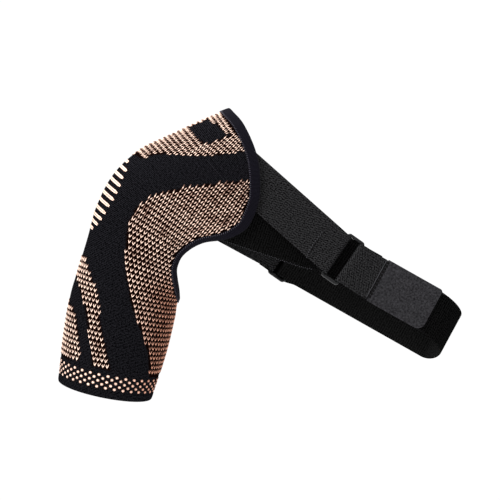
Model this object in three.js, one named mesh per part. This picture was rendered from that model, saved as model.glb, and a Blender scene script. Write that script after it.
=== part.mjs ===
// Knitted shoulder brace with a strap loop, shown in the form it has when worn.
// X runs across from the arm towards the chest strap, Y away from the viewer of the
// front, Z up. All lengths are in millimetres. The origin is the seat on top of the
// shoulder, inside the sleeve.
import * as THREE from 'three';

// Sleeve
const BODY_WIDTH = 216;        // arm side of the hem to the flap's outermost point
const BODY_HEIGHT = 308;       // lowest point of the hem to the tip beside the neck
const ARM_WIDTH = 100;         // across the arm opening
const ARM_DEPTH = 89;          // front to back of the arm opening
const KNIT_WALL = 2;
const HEM_HEIGHT = 11;
const HEM_WALL = 3.2;
const SEAT_ALONG = 0.72;       // where on the top line the shoulder carries the sleeve

// Tape folded over the edge of the body opening
const BINDING_WIDTH = 9.5;
const BINDING_THICK = 1.1;
const BINDING_GAP = 0.7;       // to the knit, which bends more than the tape's facets

// Elastic straps
const STRAP_WIDTH = 50;
const STRAP_THICK = 1.8;
const STRAP_TILT = 20;         // degrees that the loop leans back at its top
const STRAP_SLOPE = 29.4;      // degrees below level, seen from the front
const UPPER_LEG_SLOPE = 41.5;  // degrees below level
const LOWER_LEG_SLOPE = 19;    // degrees below level
const UPPER_LEG_LENGTH = 164;
const LOWER_LEG_LENGTH = 142;
const BACK_UPPER_SLOPE = 46;   // degrees below level
const BACK_UPPER_LENGTH = 108;
const BACK_LOWER_SLOPE = 28.6; // degrees below level
const BACK_LOWER_LENGTH = 92;
// Length of each leg between its ring and the flap, at its upper and its lower edge
const UPPER_LEG_FREE = { top: 0.817, bottom: 0.579 };
const LOWER_LEG_FREE = { top: 0.683, bottom: 0.852 };
const BACK_UPPER_FREE = { top: 0.519, bottom: 0.417 };
const BACK_LOWER_FREE = { top: 0.489, bottom: 0.717 };

// Strap loop, from the front ring round to the back ring
const LOOP_REACH = 129.5;       // front ring's bar to the outermost point of the loop
const LOOP_DEPTH = 64.5;       // front layer to back layer
const FRONT_ROUND = 40;        // length over which the front layer bends round
const BACK_ROUND = 15;
const STRAP_END = 26;          // turned back and sewn behind the back ring
const LEG_END = 14;            // turned back and sewn behind a ring's near leg
const BACK_SLACK = 7;          // how far the long strap's fold stands off the back ring's bar

// Slide rings
const RING_BAR = 3.2;
const RING_WIDTH = 21.8;
const RING_SLOPE = 35;         // degrees below level
const RING_CORNER = 2.4;
// Centres of the rings, as shares of BODY_WIDTH, ARM_DEPTH and BODY_HEIGHT
const FRONT_RING_PLACE = { across: 1.3912, deep: -0.5056, up: 0.4883 };
const BACK_RING_PLACE = { across: 1.1343, deep: 0.4719, up: 0.4955 };

// Hook pad on the free end of the strap
const TAB_REACH = 33;          // elastic between the ring and the pad's stitching
const PAD_LENGTH = 66;
const PAD_WIDTH = 52;
const PAD_THICK = 1.6;
const PAD_LARGE_CORNER = 9;
const PAD_SMALL_CORNER = 3;

const GAP = 0.4;               // between pieces that touch
const COLUMNS = 56;            // round the sleeve
const ROWS = 17;               // along the sleeve

// Sections of the shoulder tube, from the hem to the neck. Each is an ellipse that starts
// at a point on the outer line: across and up are shares of the body's width and height,
// wide and deep are shares of the arm's. Lean is the slope of the section in degrees, and
// dip the angle by which its front half hangs lower.
const SECTIONS = [
  { across: 0.000, up: 0.072, lean: 11.5, wide: 1.00, deep: 1.00, dip: 10 },
  { across: 0.025, up: 0.232, lean: 12.0, wide: 1.10, deep: 1.07, dip: 8 },
  { across: 0.059, up: 0.369, lean: 14.0, wide: 1.13, deep: 1.12, dip: 5 },
  { across: 0.098, up: 0.459, lean: 18.0, wide: 1.106, deep: 1.167, dip: 2 },
  { across: 0.142, up: 0.562, lean: 24.0, wide: 1.17, deep: 1.238, dip: 0 },
  { across: 0.187, up: 0.672, lean: 30.0, wide: 1.277, deep: 1.31, dip: 0 },
  { across: 0.270, up: 0.782, lean: 37.0, wide: 1.51, deep: 1.38, dip: 0 },
  { across: 0.398, up: 0.865, lean: 44.0, wide: 1.766, deep: 1.405, dip: 0 },
  { across: 0.559, up: 0.920, lean: 49.0, wide: 1.87, deep: 1.357, dip: 0 },
  { across: 0.731, up: 0.975, lean: 54.0, wide: 1.87, deep: 1.26, dip: 0 },
  { across: 0.874, up: 1.013, lean: 58.0, wide: 1.83, deep: 1.167, dip: 0 },
];

// Edge of the body opening on that tube, from the neck tip to the armpit. Turn is a share
// of the half turn from the outer line to the inner line, along a share of the tube.
const EDGE = [
  { turn: 0.000, along: 0.972 },
  { turn: 0.110, along: 0.976 },
  { turn: 0.218, along: 0.982 },
  { turn: 0.327, along: 0.972 },
  { turn: 0.412, along: 0.947 },
  { turn: 0.502, along: 0.896 },
  { turn: 0.556, along: 0.854 },
  { turn: 0.620, along: 0.785 },
  { turn: 0.652, along: 0.735 },
  { turn: 0.674, along: 0.688 },
  { turn: 0.690, along: 0.640 },
  { turn: 0.698, along: 0.585 },
  { turn: 0.711, along: 0.519 },
  { turn: 0.724, along: 0.465 },
  { turn: 0.740, along: 0.425 },
  { turn: 0.785, along: 0.388 },
  { turn: 0.850, along: 0.352 },
  { turn: 0.930, along: 0.318 },
  { turn: 1.000, along: 0.306 },
];

const radians = THREE.MathUtils.degToRad;
const mix = THREE.MathUtils.lerp;
const easeBetween = THREE.MathUtils.smoothstep;
const vector = (x, y, z) => new THREE.Vector3(x, y, z);

// Smooth curve through the rows of a table, read at a share from 0 to 1
function readTable(rows, column, share) {
  const last = rows.length - 1;
  const place = THREE.MathUtils.clamp(share, 0, 1) * last;
  const index = Math.min(Math.floor(place), last - 1);
  const t = place - index;
  const b = rows[index][column];
  const c = rows[index + 1][column];
  const a = index > 0 ? rows[index - 1][column] : 2 * b - c;
  const d = index < last - 1 ? rows[index + 2][column] : 2 * c - b;
  return 0.5 * (2 * b + (c - a) * t + (2 * a - 5 * b + 4 * c - d) * t * t
    + (3 * b - a - 3 * c + d) * t * t * t);
}

function sectionAt(along) {
  const lean = radians(readTable(SECTIONS, 'lean', along));
  return {
    across: readTable(SECTIONS, 'across', along) * BODY_WIDTH,
    up: readTable(SECTIONS, 'up', along) * BODY_HEIGHT,
    wide: readTable(SECTIONS, 'wide', along) * ARM_WIDTH,
    deep: readTable(SECTIONS, 'deep', along) * ARM_DEPTH,
    dip: radians(readTable(SECTIONS, 'dip', along)),
    cos: Math.cos(lean),
    sin: Math.sin(lean),
  };
}

// Point on the sleeve's outer face. Turn runs from 0 at the outer line over the front to 1
// at the inner line, and on over the back to 2.
function tubePoint(along, turn) {
  const section = sectionAt(along);
  const angle = turn * Math.PI;
  const inward = section.wide * (1 - Math.cos(angle)) / 2;
  const forward = section.deep * Math.sin(angle) / 2;
  const drop = forward * Math.sin(section.dip);
  return vector(
    section.across + inward * section.cos - drop * section.sin,
    -forward * Math.cos(section.dip),
    section.up - inward * section.sin - drop * section.cos,
  );
}

const STEP = 0.001;

function tubeSlopes(along, turn) {
  const ahead = tubePoint(Math.min(along + STEP, 1), turn);
  const behind = tubePoint(Math.max(along - STEP, 0), turn);
  const span = Math.min(along + STEP, 1) - Math.max(along - STEP, 0);
  return {
    along: ahead.sub(behind).divideScalar(span),
    turn: tubePoint(along, turn + STEP).sub(tubePoint(along, turn - STEP))
      .divideScalar(2 * STEP),
  };
}

function tubeNormal(along, turn) {
  const slopes = tubeSlopes(along, turn);
  return slopes.turn.cross(slopes.along).normalize();
}

// Sleeve face seen at a point of the front view, on the front (side -1) or the back (1),
// moved inwards by a depth
function faceDepth(across, up, side, depth) {
  let low = 0.45;
  let high = 1;
  const miss = (along) => {
    const s = sectionAt(along);
    return (across - s.across) * s.sin + (up - s.up) * s.cos;
  };
  for (let pass = 0; pass < 40; pass += 1) {
    const middle = (low + high) / 2;
    if (miss(middle) > 0) low = middle;
    else high = middle;
  }
  const section = sectionAt(low);
  const inward = (across - section.across) * section.cos - (up - section.up) * section.sin;
  const cosine = THREE.MathUtils.clamp(1 - 2 * inward / section.wide, -0.98, 0.98);
  const turn = Math.acos(cosine) / Math.PI;
  const facing = Math.abs(tubeNormal(low, turn).y);
  return side * (section.deep * Math.sqrt(1 - cosine * cosine) / 2 - depth / facing);
}

// Rows of turn and along at equal steps along the opening's edge, front then back
function edgeStations() {
  const steps = 400;
  const lengths = [0];
  let previous = tubePoint(EDGE[0].along, EDGE[0].turn);
  for (let i = 1; i <= steps; i += 1) {
    const share = i / steps;
    const point = tubePoint(readTable(EDGE, 'along', share), readTable(EDGE, 'turn', share));
    lengths.push(lengths[i - 1] + point.distanceTo(previous));
    previous = point;
  }
  const half = COLUMNS / 2;
  const front = [];
  for (let column = 0; column <= half; column += 1) {
    const wanted = lengths[steps] * column / half;
    const index = Math.max(1, lengths.findIndex((length) => length >= wanted - 1e-9));
    const part = (wanted - lengths[index - 1]) / (lengths[index] - lengths[index - 1]);
    const share = (index - 1 + part) / steps;
    front.push({ turn: readTable(EDGE, 'turn', share), along: readTable(EDGE, 'along', share),
      share: column / half });
  }
  const back = front.slice(1, half).reverse()
    .map((s) => ({ turn: 2 - s.turn, along: s.along, share: 2 - s.share }));
  return [...front, ...back];
}

const EDGE_STATIONS = edgeStations();

// Share of the tube at which a height above the hem is reached
function alongForHeight(height) {
  const reach = tubePoint(0.1, 0).distanceTo(tubePoint(0, 0));
  return 0.1 * height / reach;
}

// Turn of a grid column at the hem: half way between even spacing and the edge's own
const hemTurn = (station) => (station.turn + station.share) / 2;

function sleeveGrid(start, rows, end) {
  return EDGE_STATIONS.map((station) => {
    const column = [];
    const stop = end === undefined ? station.along : end;
    for (let row = 0; row <= rows; row += 1) {
      const share = row / rows;
      const along = mix(start, stop, share);
      const turn = mix(hemTurn(station), station.turn, along / station.along);
      column.push({ point: tubePoint(along, turn), normal: tubeNormal(along, turn) });
    }
    return column;
  });
}

// Closed solid from a grid of points with normals, columns of equal length. Outer and
// inner are the distances of its two faces from the points along the normals.
function sheetSolid(grid, outer, inner, closed) {
  const rows = grid[0].length;
  const positions = [];
  const index = [];
  const add = (item, offset) => {
    const p = item.point.clone().addScaledVector(item.normal, offset);
    positions.push(p.x, p.y, p.z);
  };
  grid.forEach((column) => column.forEach((item) => add(item, outer)));
  grid.forEach((column) => column.forEach((item) => add(item, inner)));
  const count = grid.length * rows;
  const at = (column, row, face) => (column % grid.length) * rows + row + face * count;
  const quad = (a, b, c, d) => index.push(a, b, c, a, c, d);
  const spans = closed ? grid.length : grid.length - 1;
  for (let c = 0; c < spans; c += 1) {
    for (let r = 0; r < rows - 1; r += 1) {
      quad(at(c, r, 0), at(c + 1, r, 0), at(c + 1, r + 1, 0), at(c, r + 1, 0));
      quad(at(c, r, 1), at(c, r + 1, 1), at(c + 1, r + 1, 1), at(c + 1, r, 1));
    }
    quad(at(c, 0, 0), at(c, 0, 1), at(c + 1, 0, 1), at(c + 1, 0, 0));
    quad(at(c, rows - 1, 0), at(c + 1, rows - 1, 0), at(c + 1, rows - 1, 1), at(c, rows - 1, 1));
  }
  if (!closed) {
    const last = grid.length - 1;
    for (let r = 0; r < rows - 1; r += 1) {
      quad(at(0, r, 0), at(0, r + 1, 0), at(0, r + 1, 1), at(0, r, 1));
      quad(at(last, r, 0), at(last, r, 1), at(last, r + 1, 1), at(last, r + 1, 0));
    }
  }
  const geometry = new THREE.BufferGeometry();
  geometry.setAttribute('position', new THREE.Float32BufferAttribute(positions, 3));
  geometry.setIndex(index);
  return geometry;
}

// Ring-shaped solid from equal closed sections
function loopSolid(sections) {
  const size = sections[0].length;
  const positions = sections.flat().flatMap((p) => [p.x, p.y, p.z]);
  const index = [];
  sections.forEach((section, i) => {
    const here = i * size;
    const next = ((i + 1) % sections.length) * size;
    for (let k = 0; k < size; k += 1) {
      const m = (k + 1) % size;
      index.push(here + k, next + k, next + m, here + k, next + m, here + m);
    }
  });
  const geometry = new THREE.BufferGeometry();
  geometry.setAttribute('position', new THREE.Float32BufferAttribute(positions, 3));
  geometry.setIndex(index);
  return geometry;
}

function sleeve() {
  const start = alongForHeight(HEM_HEIGHT + GAP);
  return sheetSolid(sleeveGrid(start, ROWS), 0, -KNIT_WALL, true);
}

function armHem() {
  const grid = sleeveGrid(0, 2, alongForHeight(HEM_HEIGHT));
  const swell = (HEM_WALL - KNIT_WALL) / 2;
  return sheetSolid(grid, swell, -KNIT_WALL - swell, true);
}

// Place reached by walking over the sleeve's face from the edge, at right angles to it
function walkFromEdge(station, edgeWay, distance) {
  const steps = 4;
  let { along, turn } = station;
  for (let i = 0; i < steps; i += 1) {
    const slopes = tubeSlopes(along, turn);
    const normal = slopes.turn.clone().cross(slopes.along).normalize();
    const inward = edgeWay.clone().cross(normal).normalize();
    const a = slopes.along.dot(slopes.along);
    const b = slopes.along.dot(slopes.turn);
    const c = slopes.turn.dot(slopes.turn);
    const p = inward.dot(slopes.along);
    const q = inward.dot(slopes.turn);
    const scale = distance / steps / (a * c - b * b);
    along += (c * p - b * q) * scale;
    turn += (a * q - b * p) * scale;
  }
  return { point: tubePoint(along, turn), normal: tubeNormal(along, turn) };
}

function openingBinding() {
  const near = BINDING_GAP;
  const far = BINDING_GAP + BINDING_THICK;
  const edge = EDGE_STATIONS.map((s) => tubePoint(s.along, s.turn));
  const sections = EDGE_STATIONS.map((station, i) => {
    const before = edge[(i + edge.length - 1) % edge.length];
    const after = edge[(i + 1) % edge.length];
    const way = after.clone().sub(before).normalize();
    const deep = walkFromEdge(station, way, BINDING_WIDTH);
    const middle = walkFromEdge(station, way, BINDING_WIDTH / 2);
    const point = edge[i];
    const normal = tubeNormal(station.along, station.turn);
    const outward = way.clone().cross(normal).normalize().negate();
    const over = (item, height) => item.point.clone().addScaledVector(item.normal, height);
    const beyond = (out, height) => point.clone().addScaledVector(normal, height)
      .addScaledVector(outward, out);
    return [
      over(deep, near), over(deep, far), over(middle, far), beyond(near, far),
      beyond(far, near - KNIT_WALL / 4), beyond(far, -near - 3 * KNIT_WALL / 4),
      beyond(near, -KNIT_WALL - far), over(middle, -KNIT_WALL - far),
      over(deep, -KNIT_WALL - far), over(deep, -KNIT_WALL - near),
      over(middle, -KNIT_WALL - near), beyond(near, -KNIT_WALL - near),
      beyond(near, near), over(middle, near),
    ];
  });
  return loopSolid(sections);
}

// Directions of a strap that slopes down to the right in the front view: ahead along it,
// across it towards its lower edge, and out of its front face
function strapFrame(slope) {
  const angle = radians(slope);
  const tilt = radians(STRAP_TILT);
  const ahead = vector(Math.cos(angle), 0, -Math.sin(angle));
  const down = vector(-Math.sin(angle), 0, -Math.cos(angle));
  const across = down.clone().multiplyScalar(Math.cos(tilt)).add(vector(0, -Math.sin(tilt), 0));
  const out = vector(0, -Math.cos(tilt), 0).addScaledVector(down, -Math.sin(tilt));
  return { ahead, across, out };
}

const WRAP_RADIUS = RING_BAR / 2 + GAP + STRAP_THICK / 2;
const BAR_OFFSET = RING_WIDTH / 2 - RING_BAR / 2;
const RING_FRAME = strapFrame(RING_SLOPE);
const ringCentre = ({ across, deep, up }) => vector(across * BODY_WIDTH, deep * ARM_DEPTH,
  up * BODY_HEIGHT);
const FRONT_RING = ringCentre(FRONT_RING_PLACE);
const BACK_RING = ringCentre(BACK_RING_PLACE);

const barOf = (ring, side) => ring.clone().addScaledVector(RING_FRAME.ahead, side * BAR_OFFSET);

// Stations of a half turn of strap round a ring's bar, from its front face to its back.
// Side is 1 where the strap passes on the right of the bar and -1 on the left.
function wrapStations(bar, side, slack = 0, steps = 6) {
  const stations = [];
  for (let i = 0; i <= steps; i += 1) {
    const angle = Math.PI * i / steps;
    const ahead = side * (slack + WRAP_RADIUS * Math.sin(angle));
    const point = bar.clone().addScaledVector(RING_FRAME.out, WRAP_RADIUS * Math.cos(angle))
      .addScaledVector(RING_FRAME.ahead, ahead);
    stations.push({ point, across: RING_FRAME.across });
  }
  return stations;
}

const LEG_BLEND_LENGTH = 30;   // length over which a leg turns to the ring's direction
const LEG_SETTLE = 12;         // and over which it settles onto the flap
const STRAP_COLUMNS = [-0.5, -0.25, 0, 0.25, 0.5];

// Solid strap along its stations. A station may carry its own row of points.
function strapSolid(stations, width = STRAP_WIDTH, thick = STRAP_THICK) {
  const grid = STRAP_COLUMNS.map((share) => stations.map((station) => {
    if (station.row) return station.row(share * width);
    const edge = share < 0 ? station.narrowTop : station.narrowBottom;
    const offset = share * width * (1 - 2 * (edge || 0) / width);
    return station.point.clone().addScaledVector(station.across, offset);
  }));
  const last = stations.length - 1;
  const withNormals = grid.map((column, c) => column.map((point, r) => {
    const along = column[Math.min(r + 1, last)].clone().sub(column[Math.max(r - 1, 0)]);
    const left = grid[Math.max(c - 1, 0)][r];
    const right = grid[Math.min(c + 1, grid.length - 1)][r];
    return { point, normal: right.clone().sub(left).cross(along).normalize() };
  }));
  return sheetSolid(withNormals, thick / 2, -thick / 2, false);
}

// Row of a yoke's leg at a distance from its ring. Each of the leg's lines runs straight
// from the ring to the flap, and then follows the flap's inner face. A leg that crosses
// over the other stands off the flap there, and comes back to it at its sewn end.
function legRow(leg, distance) {
  const frame = strapFrame(leg.slope);
  const start = leg.bar.clone().addScaledVector(RING_FRAME.out, leg.rise);
  const line = (along, offset) => {
    const turned = easeBetween(along, 0, LEG_BLEND_LENGTH);
    const across = RING_FRAME.across.clone().lerp(frame.across, turned).normalize();
    const sideways = offset - leg.lift * (1 - turned);
    return start.clone().addScaledVector(frame.ahead, -along).addScaledVector(across, sideways);
  };
  return (offset) => {
    const { top, bottom } = leg.free;
    const reach = leg.length * mix(top, bottom, offset / STRAP_WIDTH + 0.5);
    const point = line(distance, offset);
    const leaving = line(reach, offset);
    const near = line(0, offset).y;
    const far = faceDepth(leaving.x, leaving.z, leg.side, leg.depth + leg.stand);
    const straight = mix(near, far, distance / reach);
    const stand = leg.stand * (1 - easeBetween(distance, reach, leg.length));
    const onFace = faceDepth(point.x, point.z, leg.side, leg.depth + stand);
    const joined = easeBetween(distance, reach - LEG_SETTLE, reach + LEG_SETTLE);
    point.y = mix(straight, onFace, joined);
    return point;
  };
}

// Stations of a leg from its sewn end inside the flap to its ring
function legStations(leg) {
  const shares = [1, 0.9, 0.8, 0.7, 0.6, 0.5, 0.4, 0.28, 0.16, 0.07];
  return shares.map((share) => ({ row: legRow(leg, share * leg.length) }));
}

const LAYER_STEP = STRAP_THICK + GAP;
// From the ring's plane to a strap that passes behind it, clear of the end turned back there
const PASS_DEPTH = WRAP_RADIUS + LAYER_STEP + GAP;
// It is drawn up until it fills the ring as seen from the front
const PASS_LIFT = PASS_DEPTH * Math.tan(radians(STRAP_TILT)) + 1.5 * GAP;
const SEWN_DEPTH = KNIT_WALL + BINDING_GAP + BINDING_THICK + 2 * GAP + STRAP_THICK / 2;
const SECOND_DEPTH = SEWN_DEPTH + LAYER_STEP;

// How far a turned end lies below its own strap, closing up from the ring's bar on
const turnedDepth = (distance, end) => mix(2 * WRAP_RADIUS, LAYER_STEP,
  easeBetween(distance, 0, end));

// Leg that is folded round its ring's bar and sewn to its own back
function wrappedLeg(leg) {
  const turned = [0.3, 0.65, 1].map((share) => {
    const distance = share * LEG_END;
    const row = legRow(leg, distance);
    const below = turnedDepth(distance, LEG_END);
    return { row: (offset) => row(offset).addScaledVector(RING_FRAME.out, -below) };
  });
  return strapSolid([...legStations(leg), ...wrapStations(leg.bar, 1), ...turned]);
}

// Leg that passes behind its ring and is sewn behind the long strap beyond it
function passingLeg(leg, farBar, tailStations) {
  const point = farBar.clone().addScaledVector(RING_FRAME.out, -PASS_DEPTH)
    .addScaledVector(RING_FRAME.across, -PASS_LIFT);
  const atBar = { point, across: RING_FRAME.across };
  return strapSolid([...legStations(leg), atBar, ...tailStations]);
}

const FRONT_BAR = barOf(FRONT_RING, 1);
const BACK_BAR = barOf(BACK_RING, 1);

const frontUpperLeg = () => wrappedLeg({ bar: barOf(FRONT_RING, -1), rise: WRAP_RADIUS,
  slope: UPPER_LEG_SLOPE, length: UPPER_LEG_LENGTH, free: UPPER_LEG_FREE,
  side: -1, depth: SEWN_DEPTH, stand: 0, lift: 0 });

const backLowerLeg = () => wrappedLeg({ bar: barOf(BACK_RING, -1), rise: WRAP_RADIUS,
  slope: BACK_LOWER_SLOPE, length: BACK_LOWER_LENGTH, free: BACK_LOWER_FREE,
  side: 1, depth: SECOND_DEPTH, stand: LAYER_STEP, lift: 0 });

function frontLowerLeg() {
  const leg = { bar: barOf(FRONT_RING, -1), rise: -PASS_DEPTH, slope: LOWER_LEG_SLOPE,
    length: LOWER_LEG_LENGTH, free: LOWER_LEG_FREE, side: -1, depth: SECOND_DEPTH,
    stand: 0, lift: PASS_LIFT };
  const tail = [0.35, 0.7, 1].map((share) => {
    const distance = share * STRAP_END;
    const across = turnedAcross(distance);
    const point = frontLayer(distance).addScaledVector(STRAP_FRAME.out, -LAYER_STEP)
      .addScaledVector(across, -PASS_LIFT);
    return { point, across };
  });
  return passingLeg(leg, FRONT_BAR, tail);
}

function backUpperLeg() {
  const leg = { bar: barOf(BACK_RING, -1), rise: -PASS_DEPTH, slope: BACK_UPPER_SLOPE,
    length: BACK_UPPER_LENGTH, free: BACK_UPPER_FREE, side: 1, depth: SEWN_DEPTH,
    stand: 0, lift: PASS_LIFT };
  const tail = [0.35, 0.7, 1].map((share) => {
    const distance = share * STRAP_END;
    const across = turnedAcross(distance);
    const below = turnedDepth(distance, STRAP_END) + LAYER_STEP;
    const point = backLayer(distance).addScaledVector(STRAP_FRAME.out, -below)
      .addScaledVector(across, -PASS_LIFT);
    return { point, across };
  });
  return passingLeg(leg, BACK_BAR, tail);
}

const STRAP_FRAME = strapFrame(STRAP_SLOPE);
const LOOP_DOWN = LOOP_DEPTH * Math.tan(radians(STRAP_TILT));
const LOOP_PULL = 7;           // how much deeper the loop's outer end lies than the ring

// Centre line of the loop's front layer at a distance from the front ring's bar
function frontLayer(distance) {
  const settle = WRAP_RADIUS;
  return FRONT_BAR.clone().addScaledVector(RING_FRAME.out, -settle)
    .addScaledVector(STRAP_FRAME.ahead, distance)
    .add(vector(0, LOOP_PULL * distance / LOOP_REACH, 0));
}

// Point of the bend at the loop's outer end, turning from 0 at the front to half a turn
function loopBend(angle) {
  const front = LOOP_REACH - FRONT_ROUND;
  const back = LOOP_REACH - BACK_ROUND;
  const ahead = angle < Math.PI / 2
    ? front + FRONT_ROUND * Math.sin(angle)
    : back + BACK_ROUND * Math.sin(angle);
  const share = (1 - Math.cos(angle)) / 2;
  const down = vector(-Math.sin(radians(STRAP_SLOPE)), 0, -Math.cos(radians(STRAP_SLOPE)));
  return frontLayer(front).addScaledVector(STRAP_FRAME.ahead, ahead - front)
    .add(vector(0, LOOP_DEPTH * share, 0)).addScaledVector(down, LOOP_DOWN * share);
}

// Centre line of the loop's back layer at a distance from the back ring's bar
function backLayer(distance) {
  const bar = BACK_BAR.clone().addScaledVector(RING_FRAME.out, WRAP_RADIUS);
  const way = loopBend(Math.PI).sub(bar).normalize();
  return bar.addScaledVector(way, distance);
}

function turnedAcross(distance) {
  return RING_FRAME.across.clone().lerp(STRAP_FRAME.across, easeBetween(distance, 0, 20))
    .normalize();
}

function tabStations() {
  const shares = [1, 0.75, 0.5, 0.25];
  return shares.map((share) => {
    const distance = share * TAB_REACH;
    const rise = turnedDepth(distance, 0.8 * TAB_REACH);
    return { point: frontLayer(distance).addScaledVector(STRAP_FRAME.out, rise),
      across: turnedAcross(distance) };
  });
}

function longStrap() {
  const stations = [...tabStations(), ...wrapStations(FRONT_BAR, -1)];
  for (const share of [0.12, 0.25, 0.6]) {
    const distance = share * (LOOP_REACH - FRONT_ROUND);
    stations.push({ point: frontLayer(distance), across: turnedAcross(distance) });
  }
  const bends = 12;
  for (let i = 0; i <= bends; i += 1) {
    stations.push({ point: loopBend(Math.PI * i / bends), across: STRAP_FRAME.across });
  }
  const reach = loopBend(Math.PI).distanceTo(backLayer(0));
  for (const share of [0.65, 0.3, 0.15, 0.06, 0]) {
    const distance = share * reach;
    stations.push({ point: backLayer(distance), across: turnedAcross(distance) });
  }
  stations.push(...wrapStations(BACK_BAR, -1, BACK_SLACK));
  for (const share of [0, 0.3, 0.65, 1]) {
    const distance = share * STRAP_END;
    const below = turnedDepth(distance, STRAP_END);
    const point = backLayer(distance).addScaledVector(STRAP_FRAME.out, -below);
    stations.push({ point, across: turnedAcross(distance) });
  }
  return strapSolid(stations);
}

// How far a rounded corner has drawn in at a distance from the end
const cornerInset = (radius, distance) => (distance >= radius ? 0
  : radius - Math.sqrt(radius * radius - (radius - distance) ** 2));

function hookTab() {
  const start = TAB_REACH + GAP;
  const distances = [0, 0.35, 0.7].map((share) => share * PAD_LENGTH);
  for (const share of [1, 0.6, 0.3, 0.1, 0.02]) {
    distances.push(PAD_LENGTH - share * PAD_LARGE_CORNER);
  }
  const rise = LAYER_STEP + (PAD_THICK - STRAP_THICK) / 2;
  const stations = distances.map((distance) => ({
    point: frontLayer(start + distance).addScaledVector(STRAP_FRAME.out, rise),
    across: STRAP_FRAME.across,
    narrowTop: cornerInset(PAD_SMALL_CORNER, PAD_LENGTH - distance),
    narrowBottom: cornerInset(PAD_LARGE_CORNER, PAD_LENGTH - distance),
  }));
  return strapSolid(stations, PAD_WIDTH, PAD_THICK);
}

// Rounded rectangle of bar round the strap, lying in the plane of the ring's frame
function slideRing(centre) {
  const halfLong = STRAP_WIDTH / 2 + GAP + RING_BAR / 2;
  const halfShort = BAR_OFFSET;
  const path = [];
  for (let corner = 0; corner < 4; corner += 1) {
    const signLong = corner === 0 || corner === 3 ? 1 : -1;
    const signShort = corner < 2 ? 1 : -1;
    for (let i = 0; i <= 3; i += 1) {
      const angle = Math.PI / 2 * (corner + i / 3);
      path.push({
        long: signLong * (halfLong - RING_CORNER) + RING_CORNER * Math.cos(angle),
        short: signShort * (halfShort - RING_CORNER) + RING_CORNER * Math.sin(angle),
        angle,
      });
    }
  }
  const sides = 8;
  return loopSolid(path.map((place) => {
    const middle = centre.clone().addScaledVector(RING_FRAME.across, place.long)
      .addScaledVector(RING_FRAME.ahead, place.short);
    const outward = RING_FRAME.across.clone().multiplyScalar(Math.cos(place.angle))
      .addScaledVector(RING_FRAME.ahead, Math.sin(place.angle));
    return Array.from({ length: sides }, (_, k) => {
      const angle = 2 * Math.PI * (k + 0.5) / sides;
      return middle.clone().addScaledVector(outward, RING_BAR / 2 * Math.cos(angle))
        .addScaledVector(RING_FRAME.out, RING_BAR / 2 * Math.sin(angle));
    });
  }));
}

const materials = {
  knit: new THREE.MeshStandardMaterial({ color: 0x26262c, roughness: 0.9, metalness: 0 }),
  elastic: new THREE.MeshStandardMaterial({ color: 0x2f3036, roughness: 0.85, metalness: 0 }),
  tape: new THREE.MeshStandardMaterial({ color: 0x15151d, roughness: 0.85, metalness: 0 }),
  hooks: new THREE.MeshStandardMaterial({ color: 0x3a3944, roughness: 0.8, metalness: 0 }),
  ring: new THREE.MeshStandardMaterial({ color: 0x1b1b20, roughness: 0.35, metalness: 0 }),
};

const seatPoint = tubePoint(SEAT_ALONG, 0)
  .addScaledVector(tubeNormal(SEAT_ALONG, 0), -KNIT_WALL);
const brace = new THREE.Group();
brace.position.copy(seatPoint).negate();

function place(name, geometry, material) {
  const mesh = new THREE.Mesh(geometry, material);
  mesh.name = name;
  brace.add(mesh);
}

place('sleeve', sleeve(), materials.knit);
place('arm_hem', armHem(), materials.tape);
place('opening_binding', openingBinding(), materials.tape);
place('front_upper_leg', frontUpperLeg(), materials.elastic);
place('front_lower_leg', frontLowerLeg(), materials.elastic);
place('front_ring', slideRing(FRONT_RING), materials.ring);
place('long_strap', longStrap(), materials.elastic);
place('hook_tab', hookTab(), materials.hooks);
place('back_lower_leg', backLowerLeg(), materials.elastic);
place('back_upper_leg', backUpperLeg(), materials.elastic);
place('back_ring', slideRing(BACK_RING), materials.ring);

const root = new THREE.Group();
root.add(brace);

export default root;
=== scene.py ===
import math
import bpy
import numpy as np
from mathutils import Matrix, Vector


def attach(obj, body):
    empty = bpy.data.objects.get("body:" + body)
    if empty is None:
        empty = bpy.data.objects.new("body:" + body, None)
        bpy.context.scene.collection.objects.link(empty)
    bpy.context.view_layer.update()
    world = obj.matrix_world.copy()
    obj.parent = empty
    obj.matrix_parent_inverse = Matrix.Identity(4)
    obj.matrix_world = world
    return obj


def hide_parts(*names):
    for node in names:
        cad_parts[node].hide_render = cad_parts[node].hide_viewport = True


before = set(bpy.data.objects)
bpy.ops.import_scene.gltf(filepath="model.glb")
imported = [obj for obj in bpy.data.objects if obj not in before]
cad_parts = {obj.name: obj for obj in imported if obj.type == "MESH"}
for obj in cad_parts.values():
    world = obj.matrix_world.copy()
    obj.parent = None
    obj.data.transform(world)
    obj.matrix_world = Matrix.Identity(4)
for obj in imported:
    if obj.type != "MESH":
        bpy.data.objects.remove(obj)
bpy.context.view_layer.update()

# Metres in a millimetre
MM = 0.001

# Sizes in millimetres, the same as the solid model's
BODY_WIDTH = 216.0
BODY_HEIGHT = 308.0
ARM_WIDTH = 100.0
ARM_DEPTH = 89.0
KNIT_WALL = 2.0
HEM_HEIGHT = 8.5
HEM_WALL = 3.2
SEAT_ALONG = 0.72
BINDING_WIDTH = 9.5
BINDING_THICK = 1.1
BINDING_GAP = 0.7
STRAP_WIDTH = 50.0
STRAP_THICK = 1.8
STRAP_TILT = 20.0
STRAP_SLOPE = 29.4
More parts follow.
